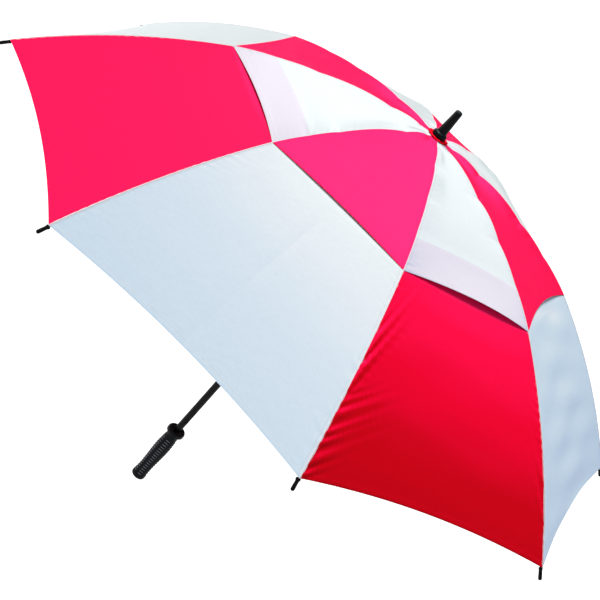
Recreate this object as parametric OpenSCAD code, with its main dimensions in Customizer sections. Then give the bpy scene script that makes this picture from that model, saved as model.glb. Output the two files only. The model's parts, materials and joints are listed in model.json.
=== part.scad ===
// Golf umbrella with a vented double canopy.
// Millimetres, +Z up along the shaft, origin at the centre of the handle's bottom end.
// The canopy is open. Rib k stands at azimuth 45*k degrees, counted from +X.

/* [Shaft] */
// Outer diameter of the shaft tube
shaft_d = 14; // [13:0.5:14.5]
// Wall of the shaft tube
shaft_wall = 0.9; // [0.8:0.1:1.2]
// Height of the rib pivots above the handle's end
crown_z = 915; // [900:1:930]

/* [Handle] */
// Diameter of the grip at its end
grip_d = 28.8; // [28:0.1:30]
// Length of the grip below the collar
grip_h = 126; // [122:1:128]
// Diameter of the collar flange
collar_d = 35.6; // [34:0.2:38]
// Height of the collar
collar_h = 13.5; // [12:0.5:15]
// Moulded bars along each column of the grip
bar_count = 17; // [12:1:18]
// Columns of bars around the grip
bar_columns = 6; // [4:1:6]

/* [Ribs] */
// Diameter of the round ribs
rib_d = 4; // [3.6:0.1:4]
// Arc length of a rib from the crown pivot to the tip
rib_len = 780; // [760:1:790]
// Arc length from the crown pivot to the flexing point
flex_at = 380; // [375:1:385]
// Arc length from the crown pivot to the stretcher's clip
clip_at = 350; // [345:1:352]
// Slope of the rib at the crown, in degrees below horizontal
slope_crown = 2.5; // [2:0.1:3.5]
// Slope of the inner length at the flexing point
slope_in = 25.9; // [25:0.1:27]
// Slope of the outer length at the flexing point
slope_out = 29.3; // [27.5:0.1:29.5]
// Slope of the rib at the tip
slope_tip = 45.9; // [45:0.1:48]

/* [Stretchers and runner] */
// Diameter of the stretcher rods
stretcher_d = 3.4; // [3:0.1:3.6]
// Drop from the rib's centre line to the stretcher pivot
clip_drop = 7.5; // [7:0.1:8]
// Radius of the crown and runner pivots about the shaft
pivot_r = 11; // [11:0.1:11.2]
// Length of the runner below its pivots
runner_h = 72; // [60:1:74]

/* [Canopy] */
// Thickness of the cloth panels
cloth_t = 0.35; // [0.3:0.05:0.5]
// Arc length along the rib to the upper canopy's hem
upper_hem_at = 376; // [372:1:378]
// Arc length along the rib to the edge of the vent opening below it
vent_edge_at = 300; // [290:1:310]
// How far the lower hem curves in between two tips
scallop = 17; // [10:1:22]
// Lift of the upper hem over the lower canopy between two ribs
vent_lift = 9; // [6:1:12]

/* [Ferrule] */
// Diameter of the ferrule's base
ferrule_d = 25; // [24:0.5:26]
// Overall height of the umbrella
tip_z = 979; // [970:1:985]

/* [Hidden] */
$fn = 48;
RIBS = 8;
STEP = 360 / RIBS;
wire_r = 0.75;
eye_bore_r = 0.85;
tongue_t = 2;
slot_w = 2.2;
clear_fit = 0.03;
rib_r = rib_d / 2;
shaft_r = shaft_d / 2;
catch_az = 22.5;

// Position along an arc of the rib as [radius, height, slope].
// An arc starts at p0 with slope a0, and turns evenly to a1 over the length len.
function arc_at(p0, a0, a1, len, s) =
    let (a = a0 + (a1 - a0) * s / len,
         turn = (a - a0) * PI / 180,
         chord = abs(turn) < 1e-6 ? s : s * sin((a - a0) / 2) / (turn / 2),
         mid = (a0 + a) / 2)
    [p0[0] + chord * cos(mid), p0[1] - chord * sin(mid), a];

CROWN = [pivot_r, crown_z];
FLEX = arc_at(CROWN, slope_crown, slope_in, flex_at, flex_at);
function rib_at(s) = s <= flex_at
    ? arc_at(CROWN, slope_crown, slope_in, flex_at, s)
    : arc_at(FLEX, slope_out, slope_tip, rib_len - flex_at, s - flex_at);

// The stretcher's pivot hangs below the rib at the clip.
CLIP = rib_at(clip_at);
KNEE = [CLIP[0] - clip_drop * sin(CLIP[2]), CLIP[1] - clip_drop * cos(CLIP[2])];
stretcher_len = norm([KNEE[0] - pivot_r, crown_z - KNEE[1]]);
knee_slope = atan2(crown_z - KNEE[1], KNEE[0] - pivot_r);
runner_z = 2 * KNEE[1] - crown_z;

// Turns a shape drawn in the plane of the first rib to rib number k.
module at_rib(k) { rotate([0, 0, STEP * (k - 1)]) children(); }

// Lays X along a slope below horizontal at a point of the rib plane.
module on_slope(p, slope) { translate([p[0], 0, p[1]]) rotate([0, slope, 0]) children(); }

// A round bar bent to an arc that starts at p0 with slope a0 and ends with slope a1.
module arc_bar(p0, a0, a1, len, s0, s1, r) {
    bend_r = len / ((a1 - a0) * PI / 180);
    b0 = a0 + (a1 - a0) * s0 / len;
    b1 = a0 + (a1 - a0) * s1 / len;
    translate([p0[0] - bend_r * sin(a0), 0, p0[1] - bend_r * cos(a0)])
        rotate([90, 0, 0])
            rotate([0, 0, 90 - b1])
                rotate_extrude(angle = b1 - b0, $fn = 96)
                    translate([bend_r, 0]) circle(r = r);
}

// A flat tongue along X with a round end and a cross bore at the origin.
module tongue(reach, height, thick, bore_r) {
    difference() {
        union() {
            rotate([90, 0, 0]) cylinder(r = height / 2, h = thick, center = true);
            translate([0, -thick / 2, -height / 2]) cube([reach, thick, height]);
        }
        rotate([90, 0, 0]) cylinder(r = bore_r, h = thick + 2, center = true);
    }
}

// A closed ring of wire that threads the eyes of the ribs or stretchers.
module wire_ring(z) {
    translate([0, 0, z]) rotate([0, 0, catch_az])
        rotate_extrude() translate([pivot_r, 0]) circle(r = wire_r);
}

// ---- Shaft, handle and ferrule ----

// Catch pivots inside the tube: [height of the pin, direction to the nose].
nose_reach = 27;
TOP_CATCH_Z = runner_z - runner_h - 1.2 - nose_reach;
BOTTOM_CATCH_Z = 192;

module catch_slot(z, dir) {
    low = dir > 0 ? z - 3 : z - nose_reach - 2;
    translate([0, -1.8, low]) cube([shaft_r + 2, 3.6, nose_reach + 5]);
}

module catch_pin(z) {
    translate([3.9, 0, z]) rotate([90, 0, 0]) cylinder(r = 0.6, h = 9.6, center = true);
}

module shaft_tube() {
    color("#17181a") union() {
        difference() {
            translate([0, 0, 10]) cylinder(d = shaft_d, h = crown_z + 9 - 10);
            translate([0, 0, 9]) cylinder(r = shaft_r - shaft_wall, h = crown_z + 1);
            rotate([0, 0, catch_az]) catch_slot(TOP_CATCH_Z, 1);
            rotate([0, 0, catch_az]) catch_slot(BOTTOM_CATCH_Z, -1);
        }
        rotate([0, 0, catch_az]) catch_pin(TOP_CATCH_Z);
        rotate([0, 0, catch_az]) catch_pin(BOTTOM_CATCH_Z);
    }
}

// A sprung lever with a hooked nose. Its nose has one square side and one ramp.
module catch_lever(z, dir) {
    translate([0, 0, z]) mirror([0, 0, dir > 0 ? 0 : 1]) rotate([90, 0, 0])
        difference() {
            linear_extrude(height = 2.6, center = true) union() {
                translate([3.9, 0]) circle(r = 1.4);
                polygon([[2.9, 0], [4.9, 0], [5.4, 8], [5.4, nose_reach - 11],
                    [9.2, nose_reach - 3], [9.2, nose_reach], [4.2, nose_reach],
                    [3.6, nose_reach - 6], [3.6, 8]]);
            }
            translate([3.9, 0, 0]) cylinder(r = 0.65, h = 6, center = true);
        }
}

module top_catch() { color("silver") rotate([0, 0, catch_az]) catch_lever(TOP_CATCH_Z, 1); }
module bottom_catch() { color("silver") rotate([0, 0, catch_az]) catch_lever(BOTTOM_CATCH_Z, -1); }

// Radius of the grip against height: bulb, waist, swell and neck.
GRIP = [[0, 8.5], [0.8, 11.6], [2.2, 13.4], [4, grip_d / 2], [11, grip_d / 2], [13.6, 13.5],
    [23, 13.1], [33, 13.0], [43, 13.3], [52, 13.85], [62, 14.55], [72, 14.95], [82, 15.2],
    [92, 15.3], [100, 15.0], [108, 14.4], [115, 13.7], [120, 13.4], [grip_h, 13.6]];
bar_pitch = 98 / (bar_count - 1);

module grip_bars() {
    rotate_extrude(angle = 34)
        union() {
            translate([9.5, 14]) square([2, 99]);
            for (i = [0:bar_count - 1])
                let (z = 14.5 + i * bar_pitch, r = lookup(z, GRIP))
                    polygon([[10, z - 1.3], [r + 0.1, z - 1.3], [r + 0.65, z - 0.6],
                        [r + 0.65, z + 0.6], [r + 0.1, z + 1.3], [10, z + 1.3]]);
        }
}

module handle_grip() {
    color("#0e0f10") difference() {
        union() {
            rotate([0, 0, catch_az])
                rotate_extrude() polygon(concat([[0, 0]], [for (p = GRIP) [p[1], p[0]]], [[0, grip_h]]));
            for (c = [0:bar_columns - 1])
                rotate([0, 0, c * 360 / bar_columns + catch_az + 30 - 17]) grip_bars();
        }
        translate([0, 0, 10]) cylinder(r = shaft_r + clear_fit, h = grip_h);
    }
}

module handle_collar() {
    r = collar_d / 2;
    color("#0b0b0c") translate([0, 0, grip_h])
        rotate_extrude()
            polygon([[shaft_r + clear_fit, 0], [13.8, 0], [14.8, 1.2], [r - 0.6, 3.2], [r, 4.2],
                [r, collar_h - 3.6], [r - 0.5, collar_h - 1.8], [r - 1.6, collar_h - 0.3],
                [r - 2.6, collar_h], [r - 3.8, collar_h - 0.5], [11, collar_h - 4.6],
                [9, collar_h - 5.2], [shaft_r + clear_fit, collar_h - 5.2]]);
}

module crown_notch() {
    color("#101112") translate([0, 0, crown_z]) difference() {
        translate([0, 0, -2.5]) cylinder(r = 13, h = 5.4);
        translate([0, 0, -4]) cylinder(r = shaft_r + clear_fit, h = 9);
        for (k = [1:RIBS])
            at_rib(k) translate([8.8, -slot_w / 2, -4]) cube([6, slot_w, 5.95]);
        rotate_extrude()
            translate([pivot_r - wire_r - clear_fit, -wire_r - clear_fit])
                square([4, 2 * (wire_r + clear_fit)]);
    }
}

module crown_wire() { color("silver") wire_ring(crown_z); }

ferrule_base_z = crown_z + 5.6;
module ferrule() {
    h = tip_z - ferrule_base_z;
    r = ferrule_d / 2;
    color("#121314") translate([0, 0, ferrule_base_z]) difference() {
        rotate_extrude()
            polygon([[0, 0], [r - 0.8, 0], [r, 0.8], [r, 6.6], [r - 0.5, 7.8], [r - 1.6, 8.6],
                [8.6, 8.8], [8.3, 9.6], [8.1, 14], [5.9, h - 3.2], [5.6, h - 1.6],
                [4.6, h - 0.5], [3.4, h], [0, h]]);
        translate([0, 0, -1]) cylinder(r = shaft_r + clear_fit, h = 4.6);
    }
}

module rosette() {
    z = crown_z + 3.95;
    color("#d5123f") rotate_extrude()
        polygon([[shaft_r + 0.2, z + 0.5], [12, z + 0.35], [17, z], [19.2, z - 0.2],
            [19.4, z + 0.5], [16.5, z + 1.2], [12.4, z + 1.5], [shaft_r + 0.2, z + 1.5]]);
}

// ---- Runner ----

module runner() {
    color("#101112") difference() {
        translate([0, 0, runner_z]) rotate_extrude()
            polygon([[0, -runner_h], [11.4, -runner_h], [12.4, 1 - runner_h],
                [12.4, 5 - runner_h], [11.4, 6.4 - runner_h], [11, 8 - runner_h],
                [11, -9], [13.2, -5], [13.2, 2.1], [12.6, 2.6], [0, 2.6]]);
        translate([0, 0, runner_z - runner_h - 1]) cylinder(r = shaft_r + 0.2, h = runner_h + 9);
        for (k = [1:RIBS])
            at_rib(k) translate([8.8, -slot_w / 2, runner_z - 2]) cube([6, slot_w, 8]);
        translate([0, 0, runner_z]) rotate_extrude()
            translate([pivot_r - wire_r - clear_fit, -wire_r - clear_fit])
                square([4, 2 * (wire_r + clear_fit)]);
        rotate([0, 0, catch_az])
            translate([0, -2.1, runner_z - runner_h - 1]) cube([9.7, 4.2, runner_h + 9]);
    }
}

module runner_wire() { color("silver") wire_ring(runner_z); }

// ---- Ribs, tips, clips and stretchers ----

module rib_inner(k) {
    color("#1a1b1d") at_rib(k) {
        on_slope(CROWN, slope_crown) tongue(6, 3.4, tongue_t, eye_bore_r);
        arc_bar(CROWN, slope_crown, slope_in, flex_at, 4.2, flex_at - 6, rib_r);
        // Fork and cross pin at the flexing point
        on_slope(FLEX, slope_in) {
            difference() {
                translate([-9, 0, 0]) rotate([0, 90, 0]) cylinder(r = 2.3, h = 11.1);
                translate([-2.6, -0.8, -4]) cube([8, 1.6, 8]);
            }
            rotate([90, 0, 0]) cylinder(r = 0.7, h = 3.6, center = true);
        }
    }
}

module rib_outer(k) {
    color("#1a1b1d") at_rib(k) {
        on_slope(FLEX, slope_out) tongue(6, 3.6, 1.4, 0.75);
        arc_bar(FLEX, slope_out, slope_tip, rib_len - flex_at, 3.6, rib_len - flex_at - 6, rib_r);
    }
}

// A cap over the rib's end with a domed nose.
module rib_tip(k) {
    p = rib_at(rib_len - 20);
    color("#0d0d0e") at_rib(k) on_slope(p, rib_at(rib_len - 10)[2]) difference() {
        rotate([0, 90, 0]) rotate_extrude()
            polygon([[0, 0.6], [2.7, 0.6], [3.2, 1.2], [3.4, 3], [3.4, 15], [3.2, 17.6],
                [2.6, 19.2], [1.6, 20], [0, 20.2]]);
        translate([-1, 0, 0]) rotate([0, 90, 0]) cylinder(r = rib_r + 0.08, h = 15.6);
    }
}

// A sleeve crimped on the rib, with two ears and a rivet for the stretcher.
module rib_clip(k) {
    color("#26282b") at_rib(k) on_slope(CLIP, CLIP[2]) {
        difference() {
            union() {
                rotate([0, 90, 0]) cylinder(r = 2.9, h = 12, center = true);
                rotate([90, 0, 0]) linear_extrude(height = 4.2, center = true) union() {
                    polygon([[-4, -1.5], [4, -1.5], [2.4, -clip_drop], [-2.4, -clip_drop]]);
                    translate([0, -clip_drop]) circle(r = 2.4);
                }
            }
            rotate([0, 90, 0]) cylinder(r = rib_r + 0.05, h = 14, center = true);
            translate([-6, -1.15, -clip_drop - 4]) cube([12, 2.3, clip_drop + 0.6]);
        }
        translate([0, 0, -clip_drop]) rotate([90, 0, 0]) {
            cylinder(r = wire_r, h = 5.4, center = true);
            translate([0, 0, 2.1]) cylinder(r = 1.5, h = 0.7);
            translate([0, 0, -2.8]) cylinder(r = 1.5, h = 0.7);
        }
    }
}

module stretcher(k) {
    color("#1d1f22") at_rib(k) on_slope([pivot_r, runner_z], -knee_slope) {
        tongue(6, 3.4, tongue_t, eye_bore_r);
        translate([4.2, 0, 0]) rotate([0, 90, 0])
            cylinder(d = stretcher_d, h = stretcher_len - 8.8);
        translate([stretcher_len, 0, 0]) mirror([1, 0, 0]) tongue(6, 3.2, 2.1, eye_bore_r);
    }
}

// ---- Canopy ----

// A point of the cloth: s along the rib, t across the gore from 0 to 1, h above the rib.
// The cloth spans straight from rib to rib, and gap keeps neighbouring gores apart.
gap = 0.1;
function rib_side(s, h) =
    let (p = s > 0 ? rib_at(s) : [pivot_r + s, crown_z, slope_crown])
    [p[0] + h * sin(p[2]), gap, p[1] + h * cos(p[2])];
function turned(p, a) = [p[0] * cos(a) - p[1] * sin(a), p[0] * sin(a) + p[1] * cos(a), p[2]];
function cloth_at(s, t, h) =
    let (a = rib_side(s, h), b = turned([a[0], -a[1], a[2]], STEP))
    (1 - t) * a + t * b;

// Arch between the ribs: 0 at each rib and 1 in the middle.
function arch(t) = 4 * t * (1 - t);
function ramp(x, lo, hi) = x <= lo ? 0 : x >= hi ? 1 : (x - lo) / (hi - lo);

// The lower cloth's corner lies just inside the rib's cap.
hem_at = rib_len - 20.5;
// Cloth heights above the rib's centre line.
lower_h = rib_r + 1.3;
upper_h = rib_r + 1.3;
function lower_point(s, t, dh) =
    cloth_at(s - scallop * arch(t) * ramp(s, vent_edge_at, hem_at), t, lower_h + dh);
function upper_point(s, t, dh) =
    cloth_at(s, t, upper_h + dh
        + (cloth_t + 0.35) * ramp(s, vent_edge_at - 20, vent_edge_at - 4)
        + vent_lift * arch(t) * pow(ramp(s, vent_edge_at - 70, upper_hem_at), 2));

// A closed sheet through two grids of points with n rows and m columns each.
module sheet(under, over) {
    n = len(under);
    m = len(under[0]);
    all_pts = concat([for (row = under) each row], [for (row = over) each row]);
    o = n * m;
    polyhedron(points = all_pts, convexity = 6, faces = concat(
        [for (i = [0:n - 2], j = [0:m - 2])
            each [[i * m + j, i * m + j + 1, (i + 1) * m + j + 1],
                [i * m + j, (i + 1) * m + j + 1, (i + 1) * m + j]]],
        [for (i = [0:n - 2], j = [0:m - 2])
            each [[o + i * m + j, o + (i + 1) * m + j + 1, o + i * m + j + 1],
                [o + i * m + j, o + (i + 1) * m + j, o + (i + 1) * m + j + 1]]],
        [for (i = [0:n - 2])
            each [[i * m, (i + 1) * m, o + (i + 1) * m], [i * m, o + (i + 1) * m, o + i * m]]],
        [for (i = [0:n - 2])
            each [[i * m + m - 1, o + (i + 1) * m + m - 1, (i + 1) * m + m - 1],
                [i * m + m - 1, o + i * m + m - 1, o + (i + 1) * m + m - 1]]],
        [for (j = [0:m - 2])
            each [[j, o + j + 1, j + 1], [j, o + j, o + j + 1]]],
        [for (j = [0:m - 2])
            each [[(n - 1) * m + j, (n - 1) * m + j + 1, o + (n - 1) * m + j + 1],
                [(n - 1) * m + j, o + (n - 1) * m + j + 1, o + (n - 1) * m + j]]]
    ));
}

across = 8;
// One row of the lower cloth lies over the flexing point, so that it clears the fork there.
LOWER_S = concat([vent_edge_at, (vent_edge_at + flex_at) / 2],
    [for (i = [0:7]) flex_at + (hem_at - flex_at) * i / 7]);
UPPER_S = concat([-3, 20, 90, 160, 225], [for (i = [0:5]) 280 + (upper_hem_at - 280) * i / 5]);

module lower_gore() {
    sheet([for (s = LOWER_S) [for (j = [0:across]) lower_point(s, j / across, 0)]],
        [for (s = LOWER_S) [for (j = [0:across]) lower_point(s, j / across, cloth_t)]]);
}

module upper_gore() {
    sheet([for (s = UPPER_S) [for (j = [0:across]) upper_point(s, j / across, 0)]],
        [for (s = UPPER_S) [for (j = [0:across]) upper_point(s, j / across, cloth_t)]]);
}

module every_other(first) {
    for (k = [first:2:RIBS]) at_rib(k) children();
}

module upper_red() { color("#f0205a") every_other(2) upper_gore(); }
module upper_white() { color("#eef4f6") every_other(1) upper_gore(); }
module lower_red() { color("#e8123f") every_other(1) lower_gore(); }
module lower_white() { color("#dfe8ec") every_other(2) lower_gore(); }

shaft_tube();
handle_grip();
handle_collar();
crown_notch();
crown_wire();
ferrule();
rosette();
runner();
runner_wire();
top_catch();
bottom_catch();
rib_inner(1);  // rib_inner_1
rib_inner(2);  // rib_inner_2
rib_inner(3);  // rib_inner_3
rib_inner(4);  // rib_inner_4
rib_inner(5);  // rib_inner_5
rib_inner(6);  // rib_inner_6
rib_inner(7);  // rib_inner_7
rib_inner(8);  // rib_inner_8
rib_outer(1);  // rib_outer_1
rib_outer(2);  // rib_outer_2
rib_outer(3);  // rib_outer_3
rib_outer(4);  // rib_outer_4
rib_outer(5);  // rib_outer_5
rib_outer(6);  // rib_outer_6
rib_outer(7);  // rib_outer_7
rib_outer(8);  // rib_outer_8
rib_tip(1);  // rib_tip_1
rib_tip(2);  // rib_tip_2
rib_tip(3);  // rib_tip_3
rib_tip(4);  // rib_tip_4
rib_tip(5);  // rib_tip_5
rib_tip(6);  // rib_tip_6
rib_tip(7);  // rib_tip_7
rib_tip(8);  // rib_tip_8
rib_clip(1);  // rib_clip_1
rib_clip(2);  // rib_clip_2
rib_clip(3);  // rib_clip_3
rib_clip(4);  // rib_clip_4
rib_clip(5);  // rib_clip_5
rib_clip(6);  // rib_clip_6
rib_clip(7);  // rib_clip_7
rib_clip(8);  // rib_clip_8
stretcher(1);  // stretcher_1
stretcher(2);  // stretcher_2
stretcher(3);  // stretcher_3
stretcher(4);  // stretcher_4
stretcher(5);  // stretcher_5
stretcher(6);  // stretcher_6
stretcher(7);  // stretcher_7
stretcher(8);  // stretcher_8
upper_red();
upper_white();
lower_red();
lower_white();
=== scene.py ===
"""A golf umbrella with a vented double canopy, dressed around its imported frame.

Everything is in metres, in the frame's own axes: +Z runs up the shaft and the first rib stands along +X.
"""

import itertools
import json
import logging
import math
from dataclasses import dataclass, field
from enum import Enum
from typing import Callable

import bpy
import numpy as np
from mathutils import Matrix, Vector


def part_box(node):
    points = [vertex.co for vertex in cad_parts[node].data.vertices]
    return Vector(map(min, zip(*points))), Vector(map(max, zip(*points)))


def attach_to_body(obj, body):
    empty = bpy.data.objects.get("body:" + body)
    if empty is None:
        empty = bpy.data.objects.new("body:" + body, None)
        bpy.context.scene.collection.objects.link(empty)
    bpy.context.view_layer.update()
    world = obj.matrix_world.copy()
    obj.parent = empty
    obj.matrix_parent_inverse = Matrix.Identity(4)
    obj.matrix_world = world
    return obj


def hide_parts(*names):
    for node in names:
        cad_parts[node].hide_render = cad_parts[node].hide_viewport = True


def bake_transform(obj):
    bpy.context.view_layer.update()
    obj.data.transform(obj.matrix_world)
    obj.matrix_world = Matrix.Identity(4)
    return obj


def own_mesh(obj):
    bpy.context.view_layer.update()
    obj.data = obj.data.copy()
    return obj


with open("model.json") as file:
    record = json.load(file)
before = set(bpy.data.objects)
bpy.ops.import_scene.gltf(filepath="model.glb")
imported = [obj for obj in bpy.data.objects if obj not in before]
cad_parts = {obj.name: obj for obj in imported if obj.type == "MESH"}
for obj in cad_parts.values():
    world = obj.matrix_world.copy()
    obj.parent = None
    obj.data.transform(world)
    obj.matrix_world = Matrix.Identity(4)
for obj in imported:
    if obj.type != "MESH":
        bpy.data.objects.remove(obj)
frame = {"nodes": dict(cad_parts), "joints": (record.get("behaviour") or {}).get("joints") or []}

LOG = logging.getLogger("umbrella")
MM = 0.001
RIB_COUNT = 8
RIB_PITCH = 2 * math.pi / RIB_COUNT
SIDEWAYS = np.array([0.0, 1.0, 0.0])
LIGHT_FROM = (-0.25, -0.32, 0.91)
SIDE_LIGHT_FROM = (0.25, 0.92, 0.30)
Colour = tuple[float, float, float]
Direction = tuple[float, float, float]
Shaping = Callable[[np.ndarray, np.ndarray, np.ndarray], np.ndarray]


class Dye(Enum):
    """The two colours of the cloth."""

    RED = "red"
    WHITE = "white"


class Layer(Enum):
    """The three stretches of cloth in each gore."""

    UPPER = "upper"
    BAND = "band"
    SKIRT = "skirt"


class Side(Enum):
    """The rib that a half of a gore hangs from: the one where the gore starts, or the next one round."""

    FIRST = 1
    SECOND = -1


# ---------------------------------------------------------------- small helpers for shapes

# The largest share of a side that one rounded corner may take up.
LONGEST_CORNER = 0.49
# The radius at which turned pieces are unrolled for their coordinate map.
UNROLLED_AT = 0.012


def smooth_step(x: np.ndarray, low: float, high: float) -> np.ndarray:
    """Rises smoothly from 0 at low to 1 at high.

    Args:
        x: The values to map.
        low: Where the rise starts.
        high: Where the rise ends.

    Returns:
        The mapped values, each from 0 to 1.
    """
    share = np.clip((np.asarray(x, float) - low) / (high - low), 0, 1)
    return share * share * (3 - 2 * share)


def arch(t: np.ndarray) -> np.ndarray:
    """A parabola across a gore: 0 at both ribs and 1 half way."""
    return 4 * t * (1 - t)


def unit(vectors: np.ndarray) -> np.ndarray:
    """Scales each vector of an array to length 1."""
    return vectors / np.maximum(np.linalg.norm(vectors, axis=-1, keepdims=True), 1e-12)


def turns(count: int) -> np.ndarray:
    """Evenly spaced angles round one full turn, in radians."""
    return np.arange(count) * 2 * math.pi / count


def turned(points: np.ndarray, angle: float) -> np.ndarray:
    """Turns points about the shaft's axis.

    Args:
        points: An array whose last axis is x, y, z.
        angle: The turn in radians, from +X towards +Y.

    Returns:
        The turned points.
    """
    c, s = math.cos(angle), math.sin(angle)
    x, y, z = points[..., 0], points[..., 1], points[..., 2]
    return np.stack([x * c - y * s, x * s + y * c, z], axis=-1)


def through(points: list[tuple[float, float]], places: np.ndarray) -> np.ndarray:
    """Reads a smooth curve that passes through a few points.

    Args:
        points: (place, value) pairs in order of place.
        places: Where the curve is read.

    Returns:
        The curve's value at each place.
    """
    x = np.array([p[0] for p in points])
    y = np.array([p[1] for p in points])
    slope = np.gradient(y, x)
    i = np.clip(np.searchsorted(x, places, side="right") - 1, 0, len(x) - 2)
    gap = x[i + 1] - x[i]
    u = np.clip((places - x[i]) / gap, 0, 1)
    start = (1 + 2 * u) * (1 - u) ** 2 * y[i] + u * (1 - u) ** 2 * gap * slope[i]
    end = u * u * (3 - 2 * u) * y[i + 1] - u * u * (1 - u) * gap * slope[i + 1]
    return start + end


def rounded(profile: list[tuple[float, float, float]], steps: int = 4) -> np.ndarray:
    """Rounds the corners of an open outline.

    Args:
        profile: (x, y, radius) corners in order; a radius of 0 keeps a corner sharp.
        steps: How many chords stand for each rounded corner.

    Returns:
        The outline's points as an (n, 2) array.
    """
    points = np.array([p[:2] for p in profile])
    out = [points[0]]
    for before, here, after, radius in zip(points, points[1:], points[2:], [p[2] for p in profile[1:]]):
        back, ahead = unit(before - here), unit(after - here)
        sides = (float(np.linalg.norm(before - here)), float(np.linalg.norm(after - here)))
        reach = min(radius, LONGEST_CORNER * min(sides))
        if reach < 1e-7:
            out.append(here)
            continue
        for u in np.linspace(0, 1, steps + 1):
            start, end = here + back * reach, here + ahead * reach
            out.append((1 - u) ** 2 * start + 2 * u * (1 - u) * here + u * u * end)
    out.append(points[-1])
    return np.array(out)


# ---------------------------------------------------------------- small helpers for meshes


def make_object(
    name: str, points: np.ndarray, faces: list, maps: dict[str, np.ndarray] | None = None, sharp: float = 40
) -> bpy.types.Object:
    """Makes a smooth-shaded mesh object.

    Args:
        name: The piece's name.
        points: Its vertices as an (n, 3) array.
        faces: Its faces as lists of vertex numbers.
        maps: A value pair for each vertex, for each coordinate map by name.
        sharp: Edges that bend by more degrees than this stay sharp.

    Returns:
        The new object, linked to the scene.
    """
    mesh = bpy.data.meshes.new(name)
    mesh.from_pydata(points.tolist(), [], [list(map(int, face)) for face in faces])
    mesh.update()
    corner_points = np.zeros(len(mesh.loops), np.int32)
    mesh.loops.foreach_get("vertex_index", corner_points)
    for title, values in (maps or {}).items():
        layer = mesh.uv_layers.new(name=title)
        layer.data.foreach_set("uv", values[corner_points].astype(np.float32).ravel())
    mesh.shade_smooth()
    mesh.set_sharp_from_angle(angle=math.radians(sharp))
    made = bpy.data.objects.new(name, mesh)
    bpy.context.scene.collection.objects.link(made)
    return made


def shell(name: str, over: np.ndarray, under: np.ndarray, maps: dict[str, np.ndarray]) -> bpy.types.Object:
    """Closes two grids of points into one thin shell.

    Args:
        name: The piece's name.
        over: The outer grid as an (n, m, 3) array, n points outwards and m points round.
        under: The inner grid, with the same shape.
        maps: An (n, m, 2) array for each coordinate map by name.

    Returns:
        The shell's object.
    """
    n, m = over.shape[:2]
    top = np.arange(n * m).reshape(n, m)
    low = top + n * m
    quads = [
        (top[:-1, :-1], top[1:, :-1], top[1:, 1:], top[:-1, 1:]),
        (low[:-1, :-1], low[:-1, 1:], low[1:, 1:], low[1:, :-1]),
        (top[:-1, :1], low[:-1, :1], low[1:, :1], top[1:, :1]),
        (top[:-1, -1:], top[1:, -1:], low[1:, -1:], low[:-1, -1:]),
        (top[:1, :-1], top[:1, 1:], low[:1, 1:], low[:1, :-1]),
        (top[-1:, :-1], low[-1:, :-1], low[-1:, 1:], top[-1:, 1:]),
    ]
    faces = np.concatenate([np.stack([c.ravel() for c in quad], axis=1) for quad in quads])
    points = np.concatenate([over.reshape(-1, 3), under.reshape(-1, 3)])
    doubled = {title: np.tile(values.reshape(-1, 2), (2, 1)) for title, values in maps.items()}
    return make_object(name, points, faces.tolist(), doubled)


def ringed(
    name: str,
    rings: np.ndarray,
    around: bool = False,
    maps: dict[str, np.ndarray] | None = None,
    sharp: float = 40,
) -> bpy.types.Object:
    """Joins rings of points into a closed tube.

    Args:
        name: The piece's name.
        rings: An (n, m, 3) array of n rings of m points, turning anticlockwise seen from the last ring.
        around: True joins the last ring to the first; False closes both ends with a flat fan.
        maps: An (n, m, 2) array for each coordinate map by name.
        sharp: Edges that bend by more degrees than this stay sharp.

    Returns:
        The tube's object.
    """
    n, m = rings.shape[:2]
    at = np.arange(n * m).reshape(n, m)
    ahead = np.roll(at, -1, axis=0) if around else at[1:]
    here = at if around else at[:-1]
    quads = np.stack(
        [here.ravel(), np.roll(here, -1, 1).ravel(), np.roll(ahead, -1, 1).ravel(), ahead.ravel()], axis=1
    )
    faces = quads.tolist()
    points = rings.reshape(-1, 3)
    values = {title: grid.reshape(-1, 2) for title, grid in (maps or {}).items()}
    if not around:
        centres = np.stack([rings[0].mean(0), rings[-1].mean(0)])
        points = np.concatenate([points, centres])
        values = {t: np.concatenate([v, v[:1], v[-1:]]) for t, v in values.items()}
        for j in range(m):
            k = (j + 1) % m
            faces.append([n * m, int(at[0, k]), int(at[0, j])])
            faces.append([n * m + 1, int(at[-1, j]), int(at[-1, k])])
    return make_object(name, points, faces, values, sharp)


def lathe(
    name: str,
    outline: np.ndarray,
    segments: int = 96,
    around: bool = False,
    shaped: Shaping | None = None,
    marked: Shaping | None = None,
    sharp: float = 40,
) -> bpy.types.Object:
    """Turns an outline about the shaft's axis.

    Args:
        name: The piece's name.
        outline: (radius, height) points, from the bottom up along the outside.
        segments: How many points stand for each full turn.
        around: True where the outline is a closed loop.
        shaped: A function of radius, angle and height that returns a changed radius.
        marked: A function of the same that returns how strongly each point takes a painted highlight, from 0
            to 1.
        sharp: Edges that bend by more degrees than this stay sharp.

    Returns:
        The turned object, with a map "turned" of arc length round and height, and a map "marks" that holds
        where the painted highlight shows.
    """
    radius = np.repeat(outline[:, :1], segments, axis=1)
    height = np.repeat(outline[:, 1:2], segments, axis=1)
    angles = np.repeat(turns(segments)[None, :], len(outline), axis=0)
    marks = marked(radius, angles, height) if marked else np.zeros_like(radius)
    if shaped:
        radius = shaped(radius, angles, height)
    rings = np.stack([radius * np.cos(angles), radius * np.sin(angles), height], axis=-1)
    along = np.concatenate([[0], np.cumsum(np.linalg.norm(np.diff(outline, axis=0), axis=1))])
    maps = {"turned": np.stack([angles * UNROLLED_AT, np.repeat(along[:, None], segments, axis=1)], axis=-1),
            "marks": np.stack([marks, np.zeros_like(marks)], axis=-1)}
    return ringed(name, rings, around, maps, sharp)


# ---------------------------------------------------------------- the rib's line


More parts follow.
